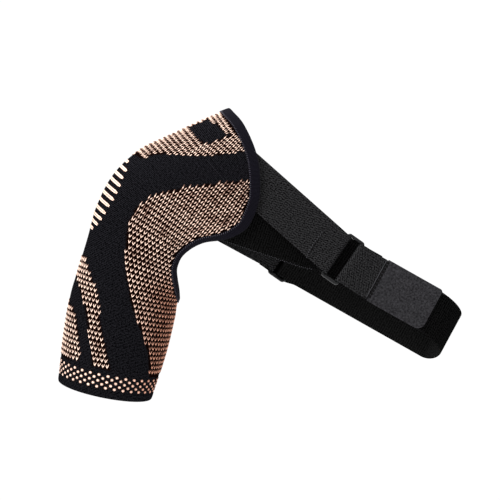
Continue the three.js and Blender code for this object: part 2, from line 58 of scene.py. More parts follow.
# Legs: slope, length, and the shares of it that are free along the upper and the lower edge
FRONT_UPPER_RUN = (41.5, 164.0, (0.817, 0.579))
FRONT_LOWER_RUN = (19.0, 142.0, (0.683, 0.852))
BACK_UPPER_RUN = (46.0, 108.0, (0.519, 0.417))
BACK_LOWER_RUN = (28.6, 92.0, (0.489, 0.717))
LEG_BLEND_LENGTH = 30.0
LEG_SETTLE = 12.0
LEG_END = 14.0
LOOP_REACH = 129.5
LOOP_DEPTH = 64.5
LOOP_PULL = 7.0
FRONT_ROUND = 40.0
BACK_ROUND = 15.0
BACK_SLACK = 7.0
STRAP_END = 26.0
RING_BAR = 3.2
RING_WIDTH = 21.8
RING_SLOPE = 35.0
RING_CORNER = 2.4
FRONT_RING = (300.5, -45.0, 150.4)
BACK_RING = (245.0, 42.0, 152.6)
TAB_REACH = 33.0
PAD_LENGTH = 66.0
PAD_WIDTH = 52.0
PAD_THICK = 1.6
PAD_LARGE_CORNER = 9.0
PAD_SMALL_CORNER = 3.0
GAP = 0.4

# Where the photograph's pixels lie in the front view
PHOTO_SCALE = 1.06
PHOTO_ORIGIN = (146.7, 147.6)
PHOTO_CENTRE = (250.0, 250.0)
PHOTO_SIDE = 500.0

# Sections of the shoulder tube: across, up, lean, wide, deep, dip
SECTIONS = np.array([
    (0.000, 0.072, 11.5, 1.000, 1.000, 10.0),
    (0.025, 0.232, 12.0, 1.100, 1.070, 8.0),
    (0.059, 0.369, 14.0, 1.130, 1.120, 5.0),
    (0.098, 0.459, 18.0, 1.106, 1.167, 2.0),
    (0.142, 0.562, 24.0, 1.170, 1.238, 0.0),
    (0.187, 0.672, 30.0, 1.277, 1.310, 0.0),
    (0.270, 0.782, 37.0, 1.510, 1.380, 0.0),
    (0.398, 0.865, 44.0, 1.766, 1.405, 0.0),
    (0.559, 0.920, 49.0, 1.870, 1.357, 0.0),
    (0.731, 0.975, 54.0, 1.870, 1.260, 0.0),
    (0.874, 1.013, 58.0, 1.830, 1.167, 0.0),
])

# Edge of the body opening on the tube, from the neck tip to the armpit: turn, along
EDGE = np.array([
    (0.000, 0.972), (0.110, 0.976), (0.218, 0.982), (0.327, 0.972), (0.412, 0.947),
    (0.502, 0.896), (0.556, 0.854), (0.620, 0.785), (0.652, 0.735), (0.674, 0.688),
    (0.690, 0.640), (0.698, 0.585), (0.711, 0.519), (0.724, 0.465), (0.740, 0.425),
    (0.785, 0.388), (0.850, 0.352), (0.930, 0.318), (1.000, 0.306),
])


def read_table(rows, share):
    """Smooth curve through a table's rows, read at shares from 0 to 1."""
    padded = np.vstack([2 * rows[0] - rows[1], rows, 2 * rows[-1] - rows[-2]])
    last = len(rows) - 1
    place = np.clip(share, 0.0, 1.0) * last
    index = np.minimum(np.floor(place).astype(int), last - 1)
    t = (place - index)[..., None]
    a, b, c, d = (padded[index + k] for k in range(4))
    return 0.5 * (2 * b + (c - a) * t + (2 * a - 5 * b + 4 * c - d) * t**2
                  + (3 * b - a - 3 * c + d) * t**3)


def raw_tube_point(along, turn):
    across, up, lean, wide, deep, dip = np.moveaxis(read_table(SECTIONS, along), -1, 0)
    lean, dip = np.radians(lean), np.radians(dip)
    angle = turn * np.pi
    inward = wide * ARM_WIDTH * (1 - np.cos(angle)) / 2
    forward = deep * ARM_DEPTH * np.sin(angle) / 2
    drop = forward * np.sin(dip)
    return np.stack([
        across * BODY_WIDTH + inward * np.cos(lean) - drop * np.sin(lean),
        -forward * np.cos(dip),
        up * BODY_HEIGHT - inward * np.sin(lean) - drop * np.cos(lean),
    ], axis=-1)


def unit(v):
    return v / np.maximum(np.linalg.norm(v, axis=-1, keepdims=True), 1e-9)


def lengths(points):
    """Distance along a path at each of its points."""
    return np.concatenate([[0], np.cumsum(np.linalg.norm(np.diff(points, axis=0), axis=1))])


def on_path(places, length, rows):
    """Rows of three, read at distances along a path."""
    return np.stack([np.interp(places, length, column) for column in rows.T], axis=-1)


STEP = 0.001


def tube_slopes(along, turn):
    high = np.minimum(along + STEP, 1.0)
    low = np.maximum(along - STEP, 0.0)
    by_along = (raw_tube_point(high, turn) - raw_tube_point(low, turn)) / (high - low)[..., None]
    by_turn = (raw_tube_point(along, turn + STEP) - raw_tube_point(along, turn - STEP))
    return by_along, by_turn / (2 * STEP)


def tube_normal(along, turn):
    by_along, by_turn = tube_slopes(along, turn)
    return unit(np.cross(by_turn, by_along))


SEAT = raw_tube_point(np.array(SEAT_ALONG), np.array(0.0)) - KNIT_WALL * tube_normal(
    np.array(SEAT_ALONG), np.array(0.0))


def tube_point(along, turn):
    """Points on the sleeve's outer face, in the row frame."""
    return raw_tube_point(along, turn) - SEAT


def from_photo(x, y):
    """Front view place of a pixel: across and up in the row frame."""
    return (x - PHOTO_ORIGIN[0]) * PHOTO_SCALE, (PHOTO_ORIGIN[1] - y) * PHOTO_SCALE


def find_on_tube(across, up):
    """Along and turn of front view places on the sleeve's front."""
    across, up = np.asarray(across, float) + SEAT[0], np.asarray(up, float) + SEAT[2]

    def from_section(along):
        """How far in and how far up from a section's outer point, and the section's width."""
        row = read_table(SECTIONS, along)
        x, z = across - row[..., 0] * BODY_WIDTH, up - row[..., 1] * BODY_HEIGHT
        sine, cosine = np.sin(np.radians(row[..., 2])), np.cos(np.radians(row[..., 2]))
        return x * cosine - z * sine, x * sine + z * cosine, row[..., 3] * ARM_WIDTH

    low, high = np.zeros_like(across), np.ones_like(across)
    for _ in range(40):
        middle = (low + high) / 2
        above = from_section(middle)[1] > 0
        low, high = np.where(above, middle, low), np.where(above, high, middle)
    inward, _, width = from_section(low)
    return low, np.arccos(np.clip(1 - 2 * inward / width, -0.98, 0.98)) / np.pi


def face_depth(across, up, side, depth):
    """How far back the sleeve's face lies, moved inwards by a depth. Side -1 is the front."""
    along, turn = find_on_tube(across, up)
    deep = read_table(SECTIONS, along)[..., 4] * ARM_DEPTH
    facing = np.abs(tube_normal(along, turn)[..., 1])
    return side * (deep * np.sin(turn * np.pi) / 2 - depth / facing)


def ease(value, low, high):
    t = np.clip((value - low) / (high - low), 0.0, 1.0)
    return t * t * (3 - 2 * t)


def mix(low, high, share):
    return low + (high - low) * share


def edge_curve(count):
    """Turn and along at equal steps along the front half of the opening's edge."""
    share = np.linspace(0.0, 1.0, 1200)
    rows = read_table(EDGE, share)
    length = lengths(tube_point(rows[:, 1], rows[:, 0]))
    even = np.interp(np.linspace(0, length[-1], count), length, share)
    rows = read_table(EDGE, even)
    return rows[:, 0], rows[:, 1]


HALF_COLUMNS = 120


def edge_stations():
    """Turn, along and share of every column round the whole sleeve."""
    turn, along = edge_curve(HALF_COLUMNS + 1)
    share = np.linspace(0.0, 1.0, HALF_COLUMNS + 1)
    inner = slice(HALF_COLUMNS - 1, 0, -1)
    return (np.concatenate([turn, 2 - turn[inner]]), np.concatenate([along, along[inner]]),
            np.concatenate([share, 2 - share[inner]]))


EDGE_TURN, EDGE_ALONG, EDGE_SHARE = edge_stations()


def along_for_height(height):
    reach = np.linalg.norm(tube_point(np.array(0.1), np.array(0.0))
                           - tube_point(np.array(0.0), np.array(0.0)))
    return 0.1 * height / reach


# Making meshes

def add_object(name, data):
    item = bpy.data.objects.new(name, data)
    bpy.context.scene.collection.objects.link(item)
    return item


def new_piece(name, vertices, faces, slot, *materials, uv=None, tone=None, face_material=None):
    """A mesh piece from points in millimetres, riding on the object."""
    mesh = bpy.data.meshes.new(name)
    points = np.asarray(vertices).reshape(-1, 3) * MM
    mesh.from_pydata(points.tolist(), [], np.asarray(faces).tolist())
    mesh.validate()
    if uv is not None:
        layer = mesh.uv_layers.new(name="knit")
        corner = np.empty(len(mesh.loops), dtype=np.int32)
        mesh.loops.foreach_get("vertex_index", corner)
        layer.data.foreach_set("uv", np.asarray(uv, np.float32).reshape(-1, 2)[corner].ravel())
    for label, values in (tone or {}).items():
        layer = mesh.attributes.new(label, "FLOAT", "POINT")
        layer.data.foreach_set("value", np.asarray(values, np.float32).ravel())
    for material in materials:
        mesh.materials.append(material)
    if face_material is not None:
        mesh.polygons.foreach_set("material_index", np.asarray(face_material, np.int32))
    mesh.polygons.foreach_set("use_smooth", np.full(len(mesh.polygons), True))
    mesh.update()
    piece = add_object(name, mesh)
    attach(piece, "root")
    return piece


def grid_faces(columns, rows, closed_columns=False, start=0, flip=False):
    """Quads over a grid of points stored column by column."""
    last = columns if closed_columns else columns - 1
    c = np.arange(last)[:, None]
    r = np.arange(rows - 1)[None, :]
    here = start + c * rows + r
    across = start + ((c + 1) % columns) * rows + r
    quads = np.stack([here, across, across + 1, here + 1], axis=-1).reshape(-1, 4)
    return quads[:, ::-1] if flip else quads


def loop_faces(sections, size):
    """Quads over a ring of equal closed sections."""
    s = np.arange(sections)[:, None] * size
    after = (s + size) % (sections * size)
    k = np.arange(size)[None, :]
    next_k = (k + 1) % size
    return np.stack([s + k, after + k, after + next_k, s + next_k], axis=-1).reshape(-1, 4)


def stamp(template, faces, centres, rights, ups, normals):
    """Copies of a small form at many places. The template's columns are right, up, height."""
    form = np.broadcast_to(template[..., :3], (len(centres), template.shape[-2], 3))
    points = (centres[:, None, :] + form[..., 0:1] * rights[:, None, :]
              + form[..., 1:2] * ups[:, None, :] + form[..., 2:3] * normals[:, None, :])
    offset = (np.arange(len(centres)) * form.shape[1])[:, None, None]
    return points.reshape(-1, 3), (np.asarray(faces)[None] + offset).reshape(-1, 4)


# Cross-section of a strand: share of its half width, share of its height, light
STRAND = ((-1.0, -0.25, 0.0), (-0.6, 0.62, 0.5), (0.0, 1.0, 1.0), (0.6, 0.62, 0.5),
          (1.0, -0.25, 0.0))


def loaf(path, height):
    """A low rounded strand along rows of right, up, width, light, with height for width."""
    path = np.asarray(path, float)
    way = unit(np.gradient(path[:, :2], axis=0))
    side = np.stack([way[:, 1], -way[:, 0]], axis=1)
    broad = path[:, 2].max()
    rows = []
    for (x, y, width, light), (sx, sy) in zip(path, side):
        for off, rise, tone in STRAND:
            reach = off * width / 2
            rows.append((x + sx * reach, y + sy * reach,
                         rise * height * (0.55 + 0.45 * width / broad), tone * light))
    return np.array(rows), grid_faces(len(path), len(STRAND), flip=True)


def join(parts):
    """One list of points and one of faces from several."""
    points, faces, start = [], [], 0
    for p, f in parts:
        points.append(p)
        faces.append(np.asarray(f) + start)
        start += len(p)
    return np.concatenate(points), np.concatenate(faces)


# Materials

CLOTH_SHINE = 0.0
YARN_SHINE = 0.15
PLASTIC_SHINE = 0.14
THREAD_SHINE = 0.1
# Painted shade in the flanks, middle tone and painted highlight atop the loops of the copper yarn,
# outside, and as a darker, redder painted shade on the inner arm
PALE_COPPER = ((0.028, 0.008, 0.004), (0.34, 0.19, 0.138), (0.97, 0.735, 0.60))
SHADED_COPPER = ((0.022, 0.006, 0.003), (0.20, 0.072, 0.042), (0.62, 0.30, 0.20))
UNDER_COPPER = (0.0035, 0.0012, 0.0008)


def node_material(name):
    material = bpy.data.materials.new(name)
    material.use_nodes = True
    tree = material.node_tree
    return material, tree, tree.nodes["Principled BSDF"]


def value_node(tree, operation, a, b=None, clamp=False):
    node = tree.nodes.new("ShaderNodeMath")
    node.operation = operation
    node.use_clamp = clamp
    for socket, item in zip(node.inputs, (a, b)):
        if isinstance(item, (int, float)):
            socket.default_value = item
        elif item is not None:
            tree.links.new(item, socket)
    return node.outputs[0]


def weighted(tree, *terms):
    """Sum of values, each times its weight."""
    total = 0.0
    for value, weight in terms:
        total = value_node(tree, "ADD", value_node(tree, "MULTIPLY", value, weight), total)
    return total


def ramp(tree, value, start, rate=1.0):
    """Rise of a value from a start, held between 0 and 1."""
    return value_node(tree, "MULTIPLY", value_node(tree, "ADD", value, -start), rate, True)


def blend_colour(tree, factor, low, high):
    node = tree.nodes.new("ShaderNodeMix")
    node.data_type = "RGBA"
    sockets = [s for s in node.inputs if s.enabled]
    tree.links.new(factor, sockets[0])
    for socket, colour in ((sockets[1], low), (sockets[2], high)):
        if isinstance(colour, tuple):
            socket.default_value = (*colour, 1.0)
        else:
            tree.links.new(colour, socket)
    return [s for s in node.outputs if s.enabled][0]


def uv_parts(tree):
    """The map of a cloth in millimetres, and its distances across and along."""
    uv = tree.nodes.new("ShaderNodeUVMap")
    uv.uv_map = "knit"
    split = tree.nodes.new("ShaderNodeSeparateXYZ")
    tree.links.new(uv.outputs[0], split.inputs[0])
    return uv.outputs[0], split.outputs[0], split.outputs[1]


def noise(tree, vector, scale, detail=2.0, rough=0.5):
    """Noise over a vector; on a cloth's map the scale is per millimetre."""
    node = tree.nodes.new("ShaderNodeTexNoise")
    node.inputs["Scale"].default_value = scale
    node.inputs["Detail"].default_value = detail
    node.inputs["Roughness"].default_value = rough
    tree.links.new(vector, node.inputs["Vector"])
    return node.outputs[0]


def object_noise(tree, scale, detail=2.0):
    """Noise in the object's own space; the scale is per metre."""
    coordinates = tree.nodes.new("ShaderNodeTexCoord")
    return noise(tree, coordinates.outputs["Object"], scale, detail)


def wave(tree, coordinate, pitch):
    """A wave from 0 to 1 with its crests a pitch apart."""
    turn = value_node(tree, "MULTIPLY", coordinate, 2 * math.pi / pitch)
    half = value_node(tree, "MULTIPLY", value_node(tree, "SINE", turn), 0.5)
    return value_node(tree, "ADD", half, 0.5)


def attribute(tree, name):
    node = tree.nodes.new("ShaderNodeAttribute")
    node.attribute_name = name
    return node.outputs["Fac"]


def dress(tree, shader, colour, roughness, shine, height, relief, strength):
    """Give a shader its colour, its shine and a relief from a height."""
    tree.links.new(colour, shader.inputs["Base Color"])
    shader.inputs["Roughness"].default_value = roughness
    shader.inputs["Specular IOR Level"].default_value = shine
    bump = tree.nodes.new("ShaderNodeBump")
    bump.inputs["Distance"].default_value = relief * MM
    bump.inputs["Strength"].default_value = strength
    tree.links.new(height, bump.inputs["Height"])
    tree.links.new(bump.outputs[0], shader.inputs["Normal"])


def black_knit():
    """Fine ribs along the courses, with single stitches along them; darker under copper."""
    material, tree, shader = node_material("black_knit")
    uv, across, along = uv_parts(tree)
    height = weighted(tree, (wave(tree, along, 1.55), 1.0), (wave(tree, across, 1.25), 0.45),
                      (noise(tree, uv, 0.6, 3.0, 0.6), 4.2))
    shade = ramp(tree, height, 2.35)
    base = blend_colour(tree, shade, (0.0001, 0.0001, 0.0002), (0.0120, 0.0116, 0.0142))
    colour = blend_colour(tree, attribute(tree, "under"), base, UNDER_COPPER)
    dress(tree, shader, colour, 0.85, CLOTH_SHINE, height, 0.4, 0.8)
    return material


def copper_yarn():
    """Painted highlight atop each loop, painted shade in its flanks, redder painted shade on the
    inner arm.
    """
    material, tree, shader = node_material("copper_yarn")
    # Painted highlight and shade of each stitch, with random tone from noise
    lit = weighted(tree, (attribute(tree, "painted_light_and_tone"), 1.0), (object_noise(tree, 420.0), 0.35))
    low = ramp(tree, lit, 0.415, 2.9)
    high = ramp(tree, lit, 0.655, 3.2)
    tones = [blend_colour(tree, high, blend_colour(tree, low, dark, middle), light)
             for dark, middle, light in (PALE_COPPER, SHADED_COPPER)]
    # Share of the shaded copy: painted shade on the inner arm
    colour = blend_colour(tree, attribute(tree, "depth"), *tones)
    dress(tree, shader, colour, 0.6, YARN_SHINE, object_noise(tree, 2600.0), 0.2, 0.5)
    return material


def tape_fabric():
    material, tree, shader = node_material("tape_fabric")
    uv, _, along = uv_parts(tree)
    height = weighted(tree, (wave(tree, along, 1.4), 0.7), (noise(tree, uv, 1.1, 4.0, 0.7), 1.0))
    shade = ramp(tree, height, 0.45, 0.9)
    colour = blend_colour(tree, shade, (0.0005, 0.0005, 0.001), (0.013, 0.012, 0.018))
    shader.inputs["Sheen Weight"].default_value = 0.02
    dress(tree, shader, colour, 0.8, CLOTH_SHINE, height, 0.3, 0.7)
    return material


def elastic(name, dark, light, rib, slant):
    """Woven elastic with ribs across it that lean by a slant."""
    material, tree, shader = node_material(name)
    uv, across, along = uv_parts(tree)
    leaning = weighted(tree, (along, 1.0), (across, slant))
    height = weighted(tree, (wave(tree, leaning, rib), 0.7), (wave(tree, across, 2.6), 0.3),
                      (noise(tree, uv, 0.65, 3.0, 0.65), 4.5))
    colour = blend_colour(tree, ramp(tree, height, 2.25), dark, light)
    dress(tree, shader, colour, 0.85, CLOTH_SHINE, height, 0.3, 0.6)
    return material


def felted_pad():
    material, tree, shader = node_material("felted_pad")
    uv, _, _ = uv_parts(tree)
    fuzz = noise(tree, uv, 0.45, 4.0, 0.7)
    shade = ramp(tree, weighted(tree, (fuzz, 2.4), (noise(tree, uv, 0.12), 0.5)), 1.1)
    colour = blend_colour(tree, shade, (0.007, 0.0068, 0.0076), (0.044, 0.043, 0.047))
    shader.inputs["Sheen Weight"].default_value = 0.03
    dress(tree, shader, colour, 0.9, CLOTH_SHINE, fuzz, 0.3, 0.5)
    return material


def moulded_plastic():
    material, tree, shader = node_material("moulded_plastic")
    grain = object_noise(tree, 900.0, 3.0)
    colour = blend_colour(tree, grain, (0.004, 0.004, 0.0045), (0.012, 0.012, 0.013))
    dress(tree, shader, colour, 0.5, PLASTIC_SHINE, grain, 0.06, 0.4)
    return material


def thread(name, colour, roughness):
    material, tree, shader = node_material(name)
    twist = object_noise(tree, 1800.0)
    tone = blend_colour(tree, twist, tuple(c * 0.45 for c in colour), colour)
    dress(tree, shader, tone, roughness, THREAD_SHINE, twist, 0.2, 0.4)
    return material


BLACK_KNIT = black_knit()
COPPER = copper_yarn()
TAPE = tape_fabric()
ELASTIC_DARK = elastic("elastic_dark", (0.0001,) * 3, (0.0062,) * 3, 2.5, 0.0)
# Mid-tone copy of the elastic, as painted shade on the loop's inner face; the same face is grey on
# the tab
ELASTIC_SHADED = elastic("elastic_shaded", (0.001,) * 3, (0.010,) * 3, 2.5, 0.0)
ELASTIC_GREY = elastic("elastic_grey", (0.0005,) * 3, (0.026, 0.026, 0.027), 2.3, 0.7)
PAD = felted_pad()
PLASTIC = moulded_plastic()
GREY_THREAD = thread("grey_thread", (0.06, 0.06, 0.066), 0.8)
DARK_THREAD = thread("dark_thread", (0.001, 0.001, 0.001), 0.8)
DIM_THREAD = thread("dim_thread", (0.03, 0.028, 0.036), 0.8)
VIOLET_THREAD = thread("violet_thread", (0.075, 0.07, 0.09), 0.6)


# Pattern of the knit, as outlines in the photograph's front view

RIDGE_AREA = [(126, 158), (135.3, 153.9), (142.7, 159), (155.9, 155.3), (172, 154.6),
              (195.5, 156.8), (216, 156.1), (233.6, 153.9), (245.4, 151.7), (275, 148),
              (275, 90), (120, 100)]
RIDGE_PATCH = [(186.4, 128.6), (208.6, 119.3), (229.3, 136.4), (207.1, 146.4)]
MAIN_AREA = [(249.8, 180.3), (235.1, 182.5), (211.6, 184.7), (180.8, 189.1), (161.8, 193.5),
             (148.5, 199.4), (136.8, 209.6), (130, 221.5), (128, 236), (125.8, 258.7),
             (128, 277.7), (131.7, 299.8), (136.8, 317.4), (144.2, 336.4), (148.6, 352.6),
             (150, 376.5), (175, 379), (200, 300), (200, 250), (280, 250), (280, 180)]
LONG_STRIPE = [(60, 250), (84, 254.3), (88.4, 266), (96.5, 286.5), (100.1, 299.8),
               (100.9, 314.4), (104.5, 335), (111.9, 370.2), (94.3, 365.8), (92.1, 346.7),
               (89.1, 327.6), (86.9, 308.6), (78.9, 283.6), (76.7, 273), (60, 264)]
SHORT_STRIPE = [(50, 297), (69.3, 301.2), (75.9, 313), (78.4, 324.7), (80.3, 346.7),
                (81.1, 361.4), (59.8, 354), (50, 352)]
# Ends of the shoulder bars in the front view: on the outer line, and on the front
BARS = [((125.9, 160.6), (128.8, 162.8)), ((120.5, 165.4), (127.5, 171.8)),
        ((115.7, 171.5), (124.0, 179.1)), ((111.3, 177.2), (121.5, 186.8)),
        ((106.8, 183.9), (118.3, 193.8)), ((103.3, 190.0), (115.1, 200.8)),
        ((99.8, 197.0), (110.6, 206.9)), ((96.6, 204.3), (106.8, 213.9)),
        ((93.7, 211.6), (103.0, 219.9)), ((92.4, 218.0), (98.8, 225.0)),
        ((90.5, 225.0), (94.0, 228.9))]


def inside(outline, x, y):
    """Which points lie inside an outline."""
    result = np.zeros(x.shape, bool)
    previous = outline[-1]
    for corner in outline:
        (x0, y0), (x1, y1) = previous, corner
        crosses = (y0 > y) != (y1 > y)
        slope = (x1 - x0) / (y1 - y0) if y1 != y0 else 0.0
        result ^= crosses & (x < (y - y0) * slope + x0)
        previous = corner
    return result


def copper_at(points):
    """Whether the knit is copper at points of the row frame, seen from the front."""
    x = points[..., 0] / PHOTO_SCALE + PHOTO_ORIGIN[0]
    y = PHOTO_ORIGIN[1] - points[..., 2] / PHOTO_SCALE
    areas = inside(RIDGE_AREA, x, y) & ~inside(RIDGE_PATCH, x, y)
    for outline in (MAIN_AREA, LONG_STRIPE, SHORT_STRIPE):
        areas |= inside(outline, x, y)
    return areas


# Coordinates of the knit: millimetres along the front's middle line, and round from it

FINE_ALONG = np.linspace(0.0, 1.0, 801)
FINE_TURN = np.linspace(0.0, 1.0, 241)
MIDDLE_LENGTH = lengths(tube_point(FINE_ALONG, np.full_like(FINE_ALONG, 0.5)))


def round_lengths(along):
    """Distance round the front from the outer line, at each fine turn."""
    return lengths(tube_point(np.full_like(FINE_TURN, along), FINE_TURN))


ROUND_TABLE = np.array([round_lengths(a) for a in FINE_ALONG[::8]])


def knit_uv(along, turn):
    """Millimetres round the tube from the outer line, and along its middle line."""
    folded = np.where(turn > 1, 2 - turn, turn)
    row = np.clip(along, 0, 1) * (len(ROUND_TABLE) - 1)
    column = np.clip(folded, 0, 1) * (len(FINE_TURN) - 1)
    r0 = np.minimum(row.astype(int), len(ROUND_TABLE) - 2)
    c0 = np.minimum(column.astype(int), len(FINE_TURN) - 2)
    fr, fc = row - r0, column - c0
    value = ((1 - fr) * ((1 - fc) * ROUND_TABLE[r0, c0] + fc * ROUND_TABLE[r0, c0 + 1])
             + fr * ((1 - fc) * ROUND_TABLE[r0 + 1, c0] + fc * ROUND_TABLE[r0 + 1, c0 + 1]))
    return np.stack([np.where(turn > 1, -value, value),
                     np.interp(along, FINE_ALONG, MIDDLE_LENGTH)], axis=-1)


def knit_sleeve():
    """Inner and outer faces of the knit, joined at the hem and at the opening."""
    rows = 130
    share = np.linspace(0.0, 1.0, rows)[None, :]
    start = along_for_height(HEM_HEIGHT - 1.0)
    along = start + (EDGE_ALONG[:, None] - start) * share
    hem_turn = (EDGE_TURN + EDGE_SHARE)[:, None] / 2
    turn = hem_turn + (EDGE_TURN[:, None] - hem_turn) * along / EDGE_ALONG[:, None]
    outer = tube_point(along, turn)
    normal = tube_normal(along, turn)
    uv = knit_uv(along, turn)
    both = np.concatenate([outer, outer - KNIT_WALL * normal])
    columns = len(EDGE_TURN)
    count = columns * rows
    faces = np.concatenate([
        grid_faces(columns, rows, closed_columns=True),
        grid_faces(columns, rows, closed_columns=True, start=count, flip=True),
    ])
    c = np.arange(columns)
    n = (c + 1) % columns
    for row, way in ((0, 1), (rows - 1, -1)):
        a, b = c * rows + row, n * rows + row
        rim = np.stack([a, a + count, b + count, b], axis=-1)
        faces = np.concatenate([faces, rim[:, ::way]])
    under = copper_at(outer).astype(float).reshape(-1)
    piece = new_piece("knit_sleeve", both, faces, "knit", BLACK_KNIT, uv=np.concatenate([uv, uv]),
                      tone={"under": np.concatenate([under, under * 0.6])})
    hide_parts("sleeve")


def arm_stitch():
    """Stitch of the arm: a V on a short foot, its right arm the longer."""
    left = [(0.1, -0.6, 1.5, 1.0), (-0.7, 0.1, 1.55, 0.95), (-1.25, 1.0, 1.5, 0.9),
            (-1.35, 1.9, 1.3, 0.6), (-1.3, 2.5, 0.8, 0.15)]
    right = [(-0.1, -0.7, 1.5, 1.0), (0.6, 0.35, 1.55, 1.0), (1.15, 1.4, 1.5, 0.95),
             (1.5, 2.3, 1.2, 0.55), (1.85, 3.2, 0.8, 0.12)]
    foot = [(0.0, 0.0, 1.4, 0.9), (0.0, -0.7, 1.4, 0.8), (0.0, -1.3, 1.1, 0.4),
            (0.0, -1.9, 0.8, 0.1)]
    return join([loaf(left, 0.75), loaf(right, 0.75), loaf(foot, 0.7)])


def flap_stitch():
    """Stitch of the flap: a strand that runs on into the next course, and a lobe beside it."""
    left = [(-0.9, -0.4, 2.0, 1.0), (-1.0, 0.3, 1.8, 0.95), (-1.2, 1.2, 1.45, 0.6),
            (-1.35, 2.1, 1.35, 0.48), (-1.45, 2.9, 1.35, 0.45)]
    right = [(1.2, -1.2, 1.0, 0.3), (1.5, -0.6, 1.4, 1.0), (1.75, 0.2, 1.5, 1.0),
             (2.05, 1.1, 1.4, 0.9), (2.5, 2.0, 0.8, 0.2)]
    foot = [(-0.9, 0.0, 1.8, 1.0), (-0.85, -0.7, 1.8, 0.95), (-0.9, -1.3, 1.45, 0.65),
            (-0.95, -1.9, 1.35, 0.45)]
    return join([loaf(left, 0.75), loaf(right, 0.7), loaf(foot, 0.75)])


# Width of the tape that shows, at shares of the front edge from the neck tip to the armpit
TAPE_WIDTH = np.array([(0.0, 9.5), (0.5, 9.5), (0.62, 6.5), (0.75, 4.5), (1.0, 4.0)])

# Courses of the copper knit: how many there are for the whole length at the rate found at
# a place, how far they lean towards the hem with each turn, stitch width, and the shift of
# each course's stitches as a share of their width
COURSE_RATE = np.array([(0.0, 95), (0.10, 91), (0.14, 85), (0.18, 74), (0.22, 60), (0.26, 56),
                        (0.32, 55), (0.40, 54), (0.43, 49), (0.49, 50), (0.53, 56), (0.58, 64),
                        (0.66, 67), (0.74, 70), (0.80, 74), (0.85, 74), (0.92, 68), (1.0, 62)])
COURSE_LEAN = np.array([(0.0, 0.0), (0.2, 0.0), (0.3, -0.03), (0.4, -0.03), (0.5, 0.01),
                        (0.56, 0.01), (0.66, -0.055), (0.74, -0.115), (0.82, -0.16), (1.0, -0.12)])
STITCH_WIDTH = np.array([(0.1, 4.5), (0.3, 5.0), (0.47, 4.7), (0.57, 4.95), (0.69, 5.6),
                         (0.8, 5.5), (0.9, 4.6)])
COURSE_SHIFT = np.array([(0.2, 0.46), (0.47, 0.42), (0.56, -0.08)])
LEAN_FROM = 0.25

# Shares of a stitch's width: how far stitches keep from the outer and the inner line, and
# the free length beyond which one more is set on the line
LINE_CLEARANCE = 0.3
LINE_FILL = 0.7


def curve(table, place):
    return np.interp(place, table[:, 0], table[:, 1])


def course_line(level):
    """Along at every fine turn of the course that starts at a level on the outer line."""
    along = np.full_like(FINE_TURN, level)
    for _ in range(4):
        along = level - curve(COURSE_LEAN, along) * np.maximum(FINE_TURN - LEAN_FROM, 0.0)
    return along, tube_point(np.minimum(along, 1.0), FINE_TURN)


def stitch_places():
    """Along, turn, width and height of each copper stitch on the front."""
    rate = curve(COURSE_RATE, FINE_ALONG)
    course = np.concatenate([[0], np.cumsum((rate[1:] + rate[:-1]) / 2 * np.diff(FINE_ALONG))])
    rows = np.arange(1, int(course[-1]) + 5)
    levels = np.interp(rows, course, FINE_ALONG) + np.maximum(rows - course[-1], 0) / rate[-1]
    lines = [course_line(level) for level in levels]
    origin, found = lines[0][1][len(FINE_TURN) // 2], []
    for (along, points), (_, after) in zip(lines[:-1], lines[1:]):
        length = lengths(points)
        nearest = int(np.linalg.norm(points - origin, axis=1).argmin())
        way = unit(np.gradient(points, axis=0))[nearest]
        middle = float(np.interp(0.5, FINE_TURN, along))
        width = float(curve(STITCH_WIDTH, middle))
        first = length[nearest] + (origin - points[nearest]) @ way
        first += float(curve(COURSE_SHIFT, middle)) * width
        places = first + np.arange(-80, 80) * width
        centre = places[np.abs(places - length[-1] / 2).argmin()]
        origin = on_path(centre, length, points)
        margin = LINE_CLEARANCE * width
        places = places[(places > margin) & (places < length[-1] - margin)]
        if places[0] > LINE_FILL * width:
            places = np.append(0.0, places)
        if length[-1] - places[-1] > LINE_FILL * width:
            places = np.append(places, length[-1])
        turns, alongs = np.interp(places, length, FINE_TURN), np.interp(places, length, along)
        height = np.interp(places, length, np.linalg.norm(after - points, axis=1))
        found.append(np.stack([alongs, turns, np.full_like(turns, width), height], axis=1))
    found = np.concatenate(found)
    return found[(found[:, 0] < 1.0) & (found[:, 3] > 1.0)]


def tube_axes(along, turn):
    """Right and up directions of the knit on the surface, and its normal."""
    right, normal = unit(tube_slopes(along, turn)[1]), tube_normal(along, turn)
    return right, unit(np.cross(normal, right)), normal


STITCH_SEED = 3
STITCH_STRAY = 0.12
STITCH_TILT = 0.07
FORM_WIDTH = 5.2
FORM_HEIGHT = 4.8
TAPE_CLEARANCE = 0.6
BAND_CLEARANCE = 2.0


def kept_stitches():
    """The stitches that lie on copper, clear of the tape and of the hem's band."""
    along, turn, width, height = stitch_places().T
    points = tube_point(along, turn)
    fine_turn, fine_along = edge_curve(300)
    rim = tube_point(fine_along, fine_turn)
    gap = np.linalg.norm(points[:, None, :] - rim[None], axis=2)
    tape = curve(TAPE_WIDTH, np.linspace(0.0, 1.0, len(rim)))
    keep = copper_at(points) & (along < curve(EDGE, turn))
    keep &= (gap > tape + TAPE_CLEARANCE).all(axis=1)
    band_top = BAND_START + BAND_STEP * BAND_ROWS + BAND_CLEARANCE
    keep &= along > along_for_height(band_top)
    return (v[keep] for v in (along, turn, width, height, points))


